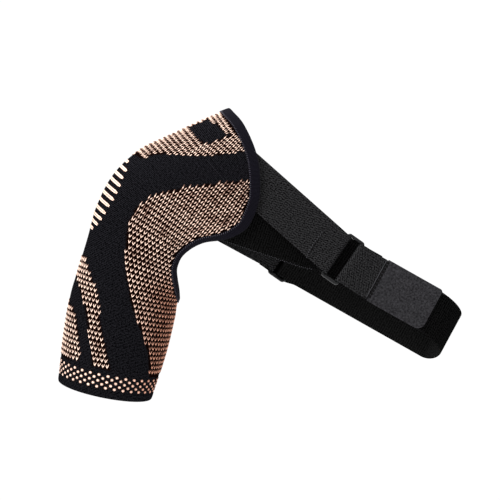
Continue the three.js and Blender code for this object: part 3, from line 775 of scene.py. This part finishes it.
def copper_stitches():
    """Every stitch of the copper knit, on the front and mirrored on the back."""
    arm, faces = arm_stitch()
    flap, _ = flap_stitch()
    along, turn, width, height, points = kept_stitches()
    by_along, by_turn = tube_slopes(along, turn)
    lean = curve(COURSE_LEAN, along) * (turn > LEAN_FROM)
    right = unit(by_turn - lean[:, None] * by_along)
    normal = unit(np.cross(by_turn, by_along))
    up = unit(np.cross(normal, right))
    generator = np.random.default_rng(STITCH_SEED)
    count = len(points)
    points = points + right * generator.normal(0, STITCH_STRAY, (count, 1)) \
        + up * generator.normal(0, STITCH_STRAY, (count, 1))
    tilt = generator.normal(0, STITCH_TILT, count)[:, None]
    right, up = right * np.cos(tilt) + up * np.sin(tilt), up * np.cos(tilt) - right * np.sin(tilt)
    right, up = right * width[:, None] / FORM_WIDTH, up * height[:, None] / FORM_HEIGHT
    form = mix(arm[None], flap[None], ease(along, 0.47, 0.56)[:, None, None])
    # Random tone per stitch, times painted light by place: lighter near the outer line, dimmer
    # higher up the flap, lighter again near its top
    light = generator.normal(1.0, 0.12, (count, 1))
    light = light * (1 + 0.22 * ease(-turn, -0.45, -0.25) - 0.12 * ease(along, 0.6, 0.72)
                     + 0.16 * ease(along, 0.85, 0.92))[:, None]
    painted_light_and_tone = np.clip(form[..., 3] * light, 0, 1)
    # Painted shade on the inner arm's lower part, as the shaded copper's share
    deep = ease(turn, 0.5, 0.82) * ease(-along, -0.48, -0.3)
    between = (turn > 0) & (turn < 1)
    for name, flip, part in (("copper_front", 1, turn >= 0), ("copper_back", -1, between)):
        mirror = np.array([1.0, flip, 1.0])
        vertices, quads = stamp(form[part], faces, *(axis[part] * mirror
                                                     for axis in (points, right, up, normal)))
        new_piece(name, vertices, quads[:, ::flip], "knit", COPPER,
                  tone={"painted_light_and_tone": painted_light_and_tone[part], "depth": np.repeat(deep[part], len(arm))})


# Band of dots above the hem: height of its first row, its rows' step, dots in a row
BAND_START = 10.6
BAND_STEP = 3.05
BAND_ROWS = 5
BAND_DOTS = 32
BAND_SHIFT = 0.15
DOT_WIDTH = 3.7
DOT_HEIGHT = 3.2
DOT_RISE = 0.75
DOT_SUNK = 0.1


def dot_form():
    """A rounded copper dot of the hem band."""
    rings, sides = 5, 12
    angle = 2 * np.pi * np.arange(sides)[:, None] / sides
    ring = np.pi / 2 * np.arange(rings)[None, :] / (rings - 1)
    squared = np.maximum(abs(np.cos(angle)), abs(np.sin(angle))) ** -0.35
    out = np.sin(ring) * squared
    form = np.stack(np.broadcast_arrays(out * DOT_WIDTH / 2 * np.cos(angle),
                                        out * DOT_HEIGHT / 2 * np.sin(angle),
                                        DOT_RISE * np.cos(ring) - DOT_SUNK), axis=-1)
    return form.reshape(-1, 3), grid_faces(sides, rings, closed_columns=True)


def hem_band():
    form, faces = dot_form()
    along, turn = [], []
    for row in range(BAND_ROWS):
        level = along_for_height(BAND_START + BAND_STEP * row)
        length = round_lengths(level)
        once = 2 * length[-1]
        place = (np.arange(BAND_DOTS) + 0.5 * (row % 2) + BAND_SHIFT) * once / BAND_DOTS % once
        half = np.interp(np.minimum(place, once - place), length, FINE_TURN)
        turn.append(np.where(place <= once / 2, half, 2 - half))
        along.append(np.full_like(half, level))
    along, turn = np.concatenate(along), np.concatenate(turn)
    vertices, quads = stamp(form, faces, tube_point(along, turn), *tube_axes(along, turn))
    # Painted shade on the band's inner side, and painted highlight on each dot's top with painted
    # shade at its rim
    deep = 0.9 * ease(np.minimum(turn, 2 - turn), 0.5, 0.85)
    painted_light_and_tone = np.tile(np.clip(0.25 + 0.8 * form[:, 2], 0, 1), len(turn))
    new_piece("hem_band_dots", vertices, quads, "knit", COPPER,
              tone={"painted_light_and_tone": painted_light_and_tone, "depth": np.repeat(deep, len(form))})


# Section of a shoulder bar: offset from its middle line, height over the knit, light
BAR_SECTION = np.array([
    (-1.85, -0.2, 0.2), (-1.7, 0.35, 0.55), (-1.0, 0.62, 0.8), (-0.3, 0.45, 0.6), (0.0, 0.25, 0.4),
    (0.3, 0.45, 0.6), (1.0, 0.62, 0.8), (1.7, 0.35, 0.55), (1.85, -0.2, 0.2),
])
BAR_STEPS = 41


def shoulder_bars():
    """Copper bars over the shoulder, each of two ridges, the same on the back."""
    offset, rise, light = BAR_SECTION.T[:, None, :, None]
    parts = []
    for ends in BARS:
        along, turn = find_on_tube(*from_photo(*np.array(ends).T))
        turns = np.linspace(-turn[1], turn[1], BAR_STEPS)
        share = np.abs(turns) / turn[1]
        alongs = mix(along[0], along[1], share)
        _, up, normal = tube_axes(alongs, turns)
        taper = np.clip((1 - share) * 14, 0.55, 1.0)[:, None, None]
        grid = (tube_point(alongs, turns)[:, None] + up[:, None] * offset * taper
                + normal[:, None] * rise)
        parts.append((grid.reshape(-1, 3), grid_faces(*grid.shape[:2])))
    vertices, quads = join(parts)
    # Painted light across each bar: lighter on its two ridges, darker at its edges and between them
    painted_light_and_tone = np.tile(light.ravel(), BAR_STEPS * len(BARS))
    new_piece("shoulder_bars", vertices, quads, "knit", COPPER,
              tone={"painted_light_and_tone": painted_light_and_tone, "depth": np.zeros(len(vertices))})


def squarish(wave_value, power):
    """A sine or cosine, filled out towards a square."""
    return np.sign(wave_value) * np.abs(wave_value) ** power


def arm_welt():
    """Rounded black welt at the arm opening."""
    size = 18
    angle = 2 * np.pi * (np.arange(size) + 0.5) / size
    height = HEM_HEIGHT / 2 * (1 + squarish(np.cos(angle), 0.55))
    offset = -KNIT_WALL / 2 + HEM_WALL / 2 * squarish(np.sin(angle), 0.7)
    along, turn = np.broadcast_arrays(along_for_height(height)[None, :],
                                      ((EDGE_TURN + EDGE_SHARE) / 2)[:, None])
    points = tube_point(along, turn) + tube_normal(along, turn) * offset[None, :, None]
    piece = new_piece("arm_welt", points, loop_faces(len(EDGE_TURN), size), "tape", BLACK_KNIT,
                      uv=knit_uv(along, turn), tone={"under": np.zeros(along.size)})
    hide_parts("arm_hem")


WALK_STEPS = 4


def walk_from_edge(turn, along, way, distance):
    """Places reached over the knit's face at right angles to the edge."""
    for _ in range(WALK_STEPS):
        by_along, by_turn = tube_slopes(along, turn)
        normal = unit(np.cross(by_turn, by_along))
        inward = unit(np.cross(way, normal))
        a = (by_along * by_along).sum(-1)
        b = (by_along * by_turn).sum(-1)
        c = (by_turn * by_turn).sum(-1)
        p = (inward * by_along).sum(-1)
        q = (inward * by_turn).sum(-1)
        scale = distance / WALK_STEPS / (a * c - b * b)
        along = along + (c * p - b * q) * scale
        turn = turn + (a * q - b * p) * scale
    return turn, along


def edge_frame():
    edge = tube_point(EDGE_ALONG, EDGE_TURN)
    way = unit(np.roll(edge, -1, axis=0) - np.roll(edge, 1, axis=0))
    normal = tube_normal(EDGE_ALONG, EDGE_TURN)
    outward = -unit(np.cross(way, normal))
    return edge, way, normal, outward


def tape_width():
    """Width of the tape that shows, at every column round the opening."""
    return curve(TAPE_WIDTH, np.minimum(EDGE_SHARE, 2 - EDGE_SHARE))


def beside_edge(distance, height):
    """Points a distance inwards from the opening's edge and a height off the knit, and normals."""
    turn, along = walk_from_edge(EDGE_TURN, EDGE_ALONG, edge_frame()[1], distance)
    normal = tube_normal(along, turn)
    return tube_point(along, turn) + normal * height, normal


def edge_binding():
    """Tape folded over the edge of the body opening, soft at its fold."""
    edge, _, normal, outward = edge_frame()
    near, far = 0.1, BINDING_GAP + BINDING_THICK
    length = lengths(edge)
    outside = [(BINDING_WIDTH, near), (BINDING_WIDTH - 0.1, far * 0.7),
               (BINDING_WIDTH - 0.9, far * 0.95), (7.0, far), (5.0, far * 1.03), (3.0, far * 1.05)]
    inside_rows = [(distance, -KNIT_WALL - height) for distance, height in reversed(outside)]
    fold = math.pi / 2 - math.pi * np.arange(9) / 8
    middle, radius = -KNIT_WALL / 2, KNIT_WALL / 2 + far
    sections = [
        *(beside_edge(d * tape_width() / BINDING_WIDTH, h)[0] for d, h in outside),
        *(edge + normal * (middle + radius * math.sin(a)) + outward * far * math.cos(a)
          for a in fold),
        *(beside_edge(d * tape_width() / BINDING_WIDTH, h)[0] for d, h in inside_rows)]
    across = [*(d for d, _ in outside), *(-0.5 * np.arange(9)), *(-4 - d for d, _ in inside_rows)]
    points = np.stack(sections, axis=1)
    uv = np.stack(np.broadcast_arrays(np.array(across)[None, :], length[:, None]), axis=-1)
    piece = new_piece("edge_binding", points, loop_faces(*points.shape[:2])[:, ::-1], "tape",
                      TAPE, uv=uv)
    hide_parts("opening_binding")


def small_stitch(length, width, height):
    ends = ((-0.5, 0.5), (-0.17, 1.0), (0.17, 1.0), (0.5, 0.5))
    return loaf([(share * length, 0.0, broad * width, 1.0) for share, broad in ends], height)


def sew_along(name, points, normals, pitch, form, material, slot, turn_degrees=0.0, zigzag=0.0):
    """Stitches at equal steps along a path of points, each turned from the path's way."""
    length = lengths(points)
    places = np.arange(pitch / 2, length[-1], pitch)
    centre = on_path(places, length, points)
    normal = unit(on_path(places, length, normals))
    way = unit(on_path(places, length, np.gradient(points, axis=0)))
    side = unit(np.cross(normal, way))
    sign = np.where(np.arange(len(places)) % 2, 1.0, -1.0)[:, None] if zigzag else 1.0
    angle = math.radians(turn_degrees)
    right = way * math.cos(angle) + side * math.sin(angle) * sign
    centre = centre + side * sign * zigzag
    template, faces = form
    vertices, quads = stamp(template, faces, centre, right, np.cross(normal, right), normal)
    new_piece(name, vertices, quads, slot, material)


def binding_stitches():
    """Overcast stitches along the tape's inner boundary."""
    points, normal = beside_edge(tape_width() - 0.6, (BINDING_GAP + BINDING_THICK) * 0.82)
    closed = np.concatenate([points, points[:1]])
    sew_along("binding_stitches", closed, np.concatenate([normal, normal[:1]]), 2.3,
              small_stitch(2.1, 0.7, 0.45), VIOLET_THREAD, "tape", turn_degrees=62.0)


# Straps

def strap_frame(slope):
    angle, tilt = math.radians(slope), math.radians(STRAP_TILT)
    ahead = np.array([math.cos(angle), 0.0, -math.sin(angle)])
    down = np.array([-math.sin(angle), 0.0, -math.cos(angle)])
    across = down * math.cos(tilt) + np.array([0.0, -math.sin(tilt), 0.0])
    out = np.array([0.0, -math.cos(tilt), 0.0]) - down * math.sin(tilt)
    return ahead, across, out


RING_AHEAD, RING_ACROSS, RING_OUT = strap_frame(RING_SLOPE)
STRAP_AHEAD, STRAP_ACROSS, STRAP_OUT = strap_frame(STRAP_SLOPE)
WRAP_RADIUS = RING_BAR / 2 + GAP + STRAP_THICK / 2
WRAP_STEPS = 18
LEG_STEPS = 46
LEG_START = 0.015
BAR_OFFSET = RING_WIDTH / 2 - RING_BAR / 2
FRONT_RING_AT = np.array(FRONT_RING) - SEAT
BACK_RING_AT = np.array(BACK_RING) - SEAT
LAYER_STEP = STRAP_THICK + GAP
PASS_DEPTH = WRAP_RADIUS + LAYER_STEP + GAP
TILT_SLOPE = math.tan(math.radians(STRAP_TILT))
PASS_LIFT = PASS_DEPTH * TILT_SLOPE + 1.5 * GAP
BACK_LIFT = 0.1 * PASS_LIFT
LOOP_DOWN = LOOP_DEPTH * TILT_SLOPE
SEWN_DEPTH = KNIT_WALL + BINDING_GAP + BINDING_THICK + 2 * GAP + STRAP_THICK / 2
SECOND_DEPTH = SEWN_DEPTH + LAYER_STEP


def bar_of(ring, side):
    return ring + RING_AHEAD * side * BAR_OFFSET


def width_offsets(width):
    """Offsets across a strap, closer together at its rounded edges."""
    half = width / 2
    edge = np.array([0.0, 0.12, 0.4, 0.9, 1.8, 3.2])
    middle = np.linspace(-half + 5, half - 5, 9)
    return np.concatenate([-half + edge, middle, (half - edge)[::-1]])


def edge_taper(offsets, width, radius):
    """Share of the full thickness, falling to nothing at the edges."""
    inset = np.clip((width / 2 - np.abs(offsets)) / radius, 0.0, 1.0)
    return np.sqrt(1 - (1 - inset) ** 2)


def strap_mesh(name, rows, width, thick, slot, plus, minus, offsets, node, shaded_from=0):
    """A strap from rows of points across it. Plus and minus are its two faces' materials.

    From the given row on, the minus face takes a mid-tone copy of the elastic as painted shade.
    """
    grid = np.stack(rows, axis=0)
    along = unit(np.gradient(grid, axis=0))
    across = unit(np.gradient(grid, axis=1))
    normal = unit(np.cross(across, along))
    taper = edge_taper(offsets, width, thick / 2)[None, :, None]
    length = lengths(grid[:, len(offsets) // 2])
    ends = np.ones(len(grid))
    ends[0] = ends[-1] = 0.35
    half = thick / 2 * taper * ends[:, None, None]
    vertices = np.concatenate([grid + normal * half, grid - normal * half])
    count = grid.shape[0] * grid.shape[1]
    upper = grid_faces(*grid.shape[:2], flip=True)
    lower = grid_faces(*grid.shape[:2], start=count)
    columns = grid.shape[1]
    # Faces of the minus side that take the painted shade
    inner = np.arange(len(grid) - 1) >= (shaded_from or len(grid))
    uv = np.stack(np.broadcast_arrays(offsets[None, :], length[:, None]), axis=-1)
    piece = new_piece(name, vertices, np.concatenate([upper, lower]), slot,
                      plus, minus, ELASTIC_SHADED, uv=np.concatenate([uv, uv]),
                      face_material=[0] * len(upper) + (inner + 1).repeat(columns - 1).tolist())
    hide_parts(node)
    return grid, normal


def leg(ring, rise, run, side, depth, stand=0.0, lift=0.0):
    """What places a leg: its ring's left bar, its height there, and its run on the flap."""
    slope, length, free = run
    return {"start": bar_of(ring, -1) + RING_OUT * rise, "slope": slope, "length": length,
            "free": free, "side": side, "depth": depth, "stand": stand, "lift": lift}


FRONT_UPPER = leg(FRONT_RING_AT, WRAP_RADIUS, FRONT_UPPER_RUN, -1, SEWN_DEPTH)
FRONT_LOWER = leg(FRONT_RING_AT, -PASS_DEPTH, FRONT_LOWER_RUN, -1, SECOND_DEPTH, lift=PASS_LIFT)
BACK_LOWER = leg(BACK_RING_AT, WRAP_RADIUS, BACK_LOWER_RUN, 1, SECOND_DEPTH, stand=LAYER_STEP)
BACK_UPPER = leg(BACK_RING_AT, -PASS_DEPTH, BACK_UPPER_RUN, 1, SEWN_DEPTH, lift=BACK_LIFT)


def leg_row(item, distance, offsets):
    """Points across a leg at a distance from its ring: free at first, then on the flap."""
    ahead, across, _ = strap_frame(item["slope"])

    def line(along):
        along = np.broadcast_to(np.asarray(along, float), offsets.shape)[:, None]
        turned = ease(along, 0.0, LEG_BLEND_LENGTH)
        way = unit(mix(RING_ACROSS, across, turned))
        shift = way * (offsets[:, None] - item["lift"] * (1 - turned))
        return item["start"] - ahead * along + shift

    def on_face(points, stand):
        return face_depth(points[:, 0], points[:, 2], item["side"], item["depth"] + stand)

    reach = item["length"] * mix(*item["free"], offsets / STRAP_WIDTH + 0.5)
    points = line(distance)
    straight = mix(line(0.0)[:, 1], on_face(line(reach), item["stand"]), distance / reach)
    settled = on_face(points, item["stand"] * (1 - ease(distance, reach, item["length"])))
    joined = ease(distance, reach - LEG_SETTLE, reach + LEG_SETTLE)
    points[:, 1] = mix(straight, settled, joined)
    return points


def leg_rows(item, offsets):
    """Rows of a leg from its sewn end inside the flap to its ring."""
    distances = np.linspace(1.0, LEG_START, LEG_STEPS) * item["length"]
    return [leg_row(item, distance, offsets) for distance in distances]


def wrap_rows(bar, side, offsets, slack=0.0):
    """Rows of a half turn round a ring's bar, on its right if side is 1."""
    angle = np.linspace(0.0, math.pi, WRAP_STEPS + 1)[:, None]
    centre = (bar + RING_OUT * WRAP_RADIUS * np.cos(angle)
              + RING_AHEAD * side * (slack + WRAP_RADIUS * np.sin(angle)))
    return [row + RING_ACROSS * offsets[:, None] for row in centre]


def turned_depth(distance, end):
    """How far a turned end lies below its own strap, closing up from the ring's bar on."""
    return mix(2 * WRAP_RADIUS, LAYER_STEP, ease(distance, 0.0, end))


def wrapped_leg(name, item, ring, node):
    """Leg folded round its ring's bar and sewn to its own back."""
    offsets = width_offsets(STRAP_WIDTH)
    rows = [*leg_rows(item, offsets), *wrap_rows(bar_of(ring, -1), 1, offsets)]
    for distance in np.linspace(0.06, 1.0, 8) * LEG_END:
        rows.append(leg_row(item, distance, offsets) - RING_OUT * turned_depth(distance, LEG_END))
    strap_mesh(name, rows, STRAP_WIDTH, STRAP_THICK, "elastic", ELASTIC_GREY, ELASTIC_DARK,
               offsets, node)


def passing_leg(name, item, ring, tail, node):
    """Leg that passes behind its ring and is sewn behind the long strap beyond it."""
    offsets = width_offsets(STRAP_WIDTH)
    rows = leg_rows(item, offsets)
    first = rows[-1]
    last = (bar_of(ring, 1) - RING_OUT * PASS_DEPTH
            + RING_ACROSS * (offsets[:, None] - item["lift"]))
    rows += [mix(first, last, share) for share in np.linspace(0.1, 1.0, 12)]
    for distance in np.linspace(0.12, 1.0, 12) * STRAP_END:
        lift = mix(item["lift"], PASS_LIFT, ease(distance, 0.0, STRAP_END / 2))
        rows.append(tail(distance) + turned_across(distance) * (offsets[:, None] - lift))
    return strap_mesh(name, rows, STRAP_WIDTH, STRAP_THICK, "elastic", ELASTIC_DARK,
                      ELASTIC_DARK, offsets, node)


def front_legs():
    wrapped_leg("front_upper_elastic", FRONT_UPPER, FRONT_RING_AT, "front_upper_leg")
    grid, normal = passing_leg(
        "front_lower_elastic", FRONT_LOWER, FRONT_RING_AT,
        lambda distance: front_layer(distance) - STRAP_OUT * LAYER_STEP, "front_lower_leg")
    edge, out = grid[3:42, -4], normal[3:42, -4]
    sew_along("lower_leg_zigzag", edge + out * (STRAP_THICK / 2 - 0.1), out, 2.1,
              small_stitch(1.5, 0.6, 0.4), GREY_THREAD, "elastic", turn_degrees=50.0, zigzag=0.3)


def back_legs():
    wrapped_leg("back_lower_elastic", BACK_LOWER, BACK_RING_AT, "back_lower_leg")
    passing_leg("back_upper_elastic", BACK_UPPER, BACK_RING_AT,
                lambda distance: back_layer(distance)
                - STRAP_OUT * (turned_depth(distance, STRAP_END) + LAYER_STEP), "back_upper_leg")


def front_layer(distance):
    """Centre line of the loop's front layer at distances from the front ring's bar."""
    return (bar_of(FRONT_RING_AT, 1) - RING_OUT * WRAP_RADIUS + STRAP_AHEAD * distance
            + np.array([0.0, LOOP_PULL, 0.0]) * distance / LOOP_REACH)


def loop_bend(angle):
    front, back = LOOP_REACH - FRONT_ROUND, LOOP_REACH - BACK_ROUND
    ahead = (front + FRONT_ROUND * math.sin(angle) if angle < math.pi / 2
             else back + BACK_ROUND * math.sin(angle))
    share = (1 - math.cos(angle)) / 2
    slope = math.radians(STRAP_SLOPE)
    down = np.array([-math.sin(slope), 0.0, -math.cos(slope)])
    return (front_layer(front) + STRAP_AHEAD * (ahead - front)
            + np.array([0.0, LOOP_DEPTH * share, 0.0]) + down * LOOP_DOWN * share)


def back_layer(distance):
    """Centre line of the loop's back layer at distances from the back ring's bar."""
    bar = bar_of(BACK_RING_AT, 1) + RING_OUT * WRAP_RADIUS
    return bar + unit(loop_bend(math.pi) - bar) * distance


def turned_across(distance):
    return unit(mix(RING_ACROSS, STRAP_ACROSS, ease(distance, 0.0, 20.0)))


def long_strap():
    """Free end over the front, round the front ring, the loop, and round the back ring."""
    offsets = width_offsets(STRAP_WIDTH)
    rows = []

    def add(centre, across):
        rows.append(centre + across * offsets[:, None])

    for distance in np.linspace(1.0, 0.06, 14) * TAB_REACH:
        rise = turned_depth(distance, 0.8 * TAB_REACH)
        add(front_layer(distance) + STRAP_OUT * rise, turned_across(distance))
    rows.extend(wrap_rows(bar_of(FRONT_RING_AT, 1), -1, offsets))
    for distance in np.linspace(2.0, LOOP_REACH - FRONT_ROUND - 2, 24):
        add(front_layer(distance), turned_across(distance))
    for angle in np.linspace(0.0, math.pi, 41):
        add(loop_bend(angle), STRAP_ACROSS)
    reach = np.linalg.norm(loop_bend(math.pi) - back_layer(0.0))
    for distance in np.linspace(0.97, 0.01, 34) * reach:
        add(back_layer(distance), turned_across(distance))
    rows.extend(wrap_rows(bar_of(BACK_RING_AT, 1), -1, offsets, BACK_SLACK))
    for distance in np.linspace(0.02, 1.0, 12) * STRAP_END:
        below, across = turned_depth(distance, STRAP_END), turned_across(distance)
        lift = below * TILT_SLOPE * ease(distance, 0.0, STRAP_END / 2)
        add(back_layer(distance) - STRAP_OUT * below - across * lift, across)
    # Minus face: grey elastic on the tab and, from row 24 on, a darker copy as painted shade on the
    # loop's inner face
    strap_mesh("long_strap_elastic", rows, STRAP_WIDTH, STRAP_THICK, "elastic",
               ELASTIC_DARK, ELASTIC_GREY, offsets, "long_strap", shaded_from=24)


def hook_pad():
    """Felted pad with rounded far corners, sewn to the strap's free end."""
    start = TAB_REACH + GAP
    rise = LAYER_STEP + (PAD_THICK - STRAP_THICK) / 2
    base = width_offsets(PAD_WIDTH)
    distances = np.concatenate([np.linspace(0.0, PAD_LENGTH - PAD_LARGE_CORNER, 22),
                                PAD_LENGTH - PAD_LARGE_CORNER * (1 - np.sin(
                                    np.linspace(0.15, 1.0, 12) * math.pi / 2))])
    rows = []
    for distance in distances:
        left = PAD_LENGTH - distance

        def inset(radius):
            return 0.0 if left >= radius else radius - math.sqrt(radius**2 - (radius - left)**2)

        top = -PAD_WIDTH / 2 + inset(PAD_SMALL_CORNER)
        low = PAD_WIDTH / 2 - inset(PAD_LARGE_CORNER)
        spread = mix(top, low, base / PAD_WIDTH + 0.5)[:, None]
        rows.append(front_layer(start + distance) + STRAP_OUT * rise + STRAP_ACROSS * spread)
    strap_mesh("hook_pad", rows, PAD_WIDTH, PAD_THICK, "hooks", PAD, PAD, base, "hook_tab")


def pad_seam():
    """Sewn edge between the elastic and the pad: a raised cord of thread and dark stitches."""
    half = STRAP_WIDTH / 2 - 0.8
    path = STRAP_ACROSS * np.linspace(-half, half, 60)[:, None]
    out = np.repeat(STRAP_OUT[None], 60, axis=0)
    for name, beyond, pitch, form, sewn_with, turned in (
            ("pad_seam_light", -1.2, 1.7, small_stitch(1.6, 0.8, 0.4), GREY_THREAD, 0.0),
            ("pad_seam_dark", 1.6, 3.9, small_stitch(3.0, 2.7, 0.5), DARK_THREAD, 14.0)):
        centre = front_layer(TAB_REACH + beyond) + STRAP_OUT * (LAYER_STEP + STRAP_THICK / 2)
        sew_along(name, centre + path, out, pitch, form, sewn_with, "hooks", turn_degrees=turned)


# Tack over the upper leg, and the dotted seam on the black knit, in the photograph's pixels
TACK = [(322, 232), (316.5, 239), (312, 245), (308.5, 251.5), (305.5, 258.5)]
KNIT_SEAM = [(205.8, 159.7), (212.6, 167.2), (219.4, 174.9), (226.3, 182.5)]


def upper_leg_tack():
    """Row of light stitches across the upper leg near its ring, each with a dark one beside it."""
    offsets = np.linspace(-STRAP_WIDTH / 2, STRAP_WIDTH / 2, 161)
    rows = np.array([leg_row(FRONT_UPPER, distance, offsets) for distance in np.linspace(2, 60, 90)])
    seen = rows[..., (0, 2)].reshape(-1, 2)
    places = [int(np.abs(seen - from_photo(*point)).sum(axis=1).argmin()) for point in TACK]
    points = rows.reshape(-1, 3)[places]
    points[:, (0, 2)] = [from_photo(*point) for point in TACK]
    out = unit(np.cross(np.gradient(rows, axis=1), -np.gradient(rows, axis=0))).reshape(-1, 3)
    normals = out[places] * np.sign(-out[places, 1:2])
    share = np.linspace(0.0, 1.0, 40)
    path, up = read_table(points, share), read_table(normals, share)
    light = path + up * STRAP_THICK / 2
    sew_along("upper_leg_tack_light", light, up, 2.9, small_stitch(1.7, 0.9, 0.5),
              GREY_THREAD, "elastic", turn_degrees=60.0)
    sew_along("upper_leg_tack_dark", light + up * 0.3 + RING_AHEAD * 1.3, up, 2.9,
              small_stitch(2.0, 1.5, 0.4), DARK_THREAD, "elastic", turn_degrees=60.0)


def knit_seam():
    """Dotted seam over the black band of the shoulder."""
    along, turn = find_on_tube(*from_photo(*np.array(KNIT_SEAM).T))
    share = np.linspace(0.0, 1.0, 40)
    along, turn = read_table(np.stack([along, turn], axis=1), share).T
    sew_along("knit_seam", tube_point(along, turn), tube_normal(along, turn), 2.6,
              small_stitch(1.3, 0.5, 0.35), DIM_THREAD, "knit")


def slide_ring(name, centre, node):
    """Moulded ring with rounded bars."""
    half_long = STRAP_WIDTH / 2 + GAP + RING_BAR / 2
    half_short = BAR_OFFSET
    sides, steps = 16, 8
    middle, outward = [], []
    for corner in range(4):
        sign_long = 1 if corner in (0, 3) else -1
        sign_short = 1 if corner < 2 else -1
        for i in range(steps + 1):
            angle = math.pi / 2 * (corner + i / steps)
            along = sign_long * (half_long - RING_CORNER) + RING_CORNER * math.cos(angle)
            across = sign_short * (half_short - RING_CORNER) + RING_CORNER * math.sin(angle)
            middle.append(centre + RING_ACROSS * along + RING_AHEAD * across)
            outward.append(RING_ACROSS * math.cos(angle) + RING_AHEAD * math.sin(angle))
    turn = 2 * np.pi * np.arange(sides)[None, :, None] / sides
    points = (np.array(middle)[:, None]
              + np.array(outward)[:, None] * RING_BAR / 2 * squarish(np.cos(turn), 0.8)
              + RING_OUT * RING_BAR / 2 * squarish(np.sin(turn), 0.8))
    piece = new_piece(name, points, loop_faces(len(middle), sides), "ring", PLASTIC)
    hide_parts(node)


knit_sleeve()
copper_stitches()
hem_band()
shoulder_bars()
arm_welt()
edge_binding()
binding_stitches()
front_legs()
back_legs()
long_strap()
hook_pad()
pad_seam()
upper_leg_tack()
knit_seam()
slide_ring("front_slide_ring", FRONT_RING_AT, "front_ring")
slide_ring("back_slide_ring", BACK_RING_AT, "back_ring")


# Stage, light and camera, in metres

FLOOR_SIDE = 4.0
FLOOR_LEVEL = -0.75
WORLD_LIGHT = 0.42
WORLD_SEEN = 1.3
CAMERA_DISTANCE = 5.0
SENSOR = 36.0


def floor():
    mesh = bpy.data.meshes.new("floor")
    corners = [(-1, -1), (1, -1), (1, 1), (-1, 1)]
    mesh.from_pydata([(x * FLOOR_SIDE, y * FLOOR_SIDE, FLOOR_LEVEL) for x, y in corners], [],
                     [(0, 1, 2, 3)])
    material, tree, shader = node_material("floor_paint")
    paint = blend_colour(tree, object_noise(tree, 3.0), (0.93, 0.93, 0.93), (0.95, 0.95, 0.95))
    tree.links.new(paint, shader.inputs["Base Color"])
    shader.inputs["Roughness"].default_value = 0.9
    mesh.materials.append(material)
    add_object("floor", mesh)


def area_light(name, place, target, size, power):
    data = bpy.data.lights.new(name, "AREA")
    data.size = size
    data.energy = power
    light = add_object(name, data)
    light.location = place
    light.rotation_euler = (Vector(target) - Vector(place)).to_track_quat("-Z", "Y").to_euler()


def studio():
    """Soft light from all sides, a white backdrop for the camera alone, and three lamps."""
    world = bpy.data.worlds.new("studio")
    bpy.context.scene.world = world
    world.use_nodes = True
    tree = world.node_tree
    back = tree.nodes["Background"]
    back.inputs["Color"].default_value = (1.0, 1.0, 1.0, 1.0)
    back.inputs["Strength"].default_value = WORLD_LIGHT
    seen = tree.nodes.new("ShaderNodeBackground")
    seen.inputs["Strength"].default_value = WORLD_SEEN
    path = tree.nodes.new("ShaderNodeLightPath")
    choose = tree.nodes.new("ShaderNodeMixShader")
    tree.links.new(path.outputs["Is Camera Ray"], choose.inputs[0])
    tree.links.new(back.outputs[0], choose.inputs[1])
    tree.links.new(seen.outputs[0], choose.inputs[2])
    tree.links.new(choose.outputs[0], tree.nodes["World Output"].inputs["Surface"])
    area_light("key", (-1.6, -1.8, 1.3), (0.0, 0.0, -0.1), 1.2, 66.0)
    area_light("fill", (1.6, -2.2, 0.6), (0.1, 0.0, -0.1), 1.6, 12.0)
    area_light("floor_wash", (0.1, 1.0, 2.6), (0.1, 1.5, -0.75), 3.0, 260.0)


def camera():
    """Level, far in front, so that one pixel is one photo scale at the row frame's plane."""
    across, up = from_photo(*PHOTO_CENTRE)
    data = bpy.data.cameras.new("camera")
    data.sensor_width = SENSOR
    data.lens = SENSOR * CAMERA_DISTANCE / (PHOTO_SIDE * PHOTO_SCALE * MM)
    data.clip_end = 100.0
    item = add_object("camera", data)
    item.location = (across * MM, -CAMERA_DISTANCE, up * MM)
    item.rotation_euler = (math.pi / 2, 0.0, 0.0)
    bpy.context.scene.camera = item


floor()
studio()
camera()
bpy.context.scene.view_settings.view_transform = "Standard"
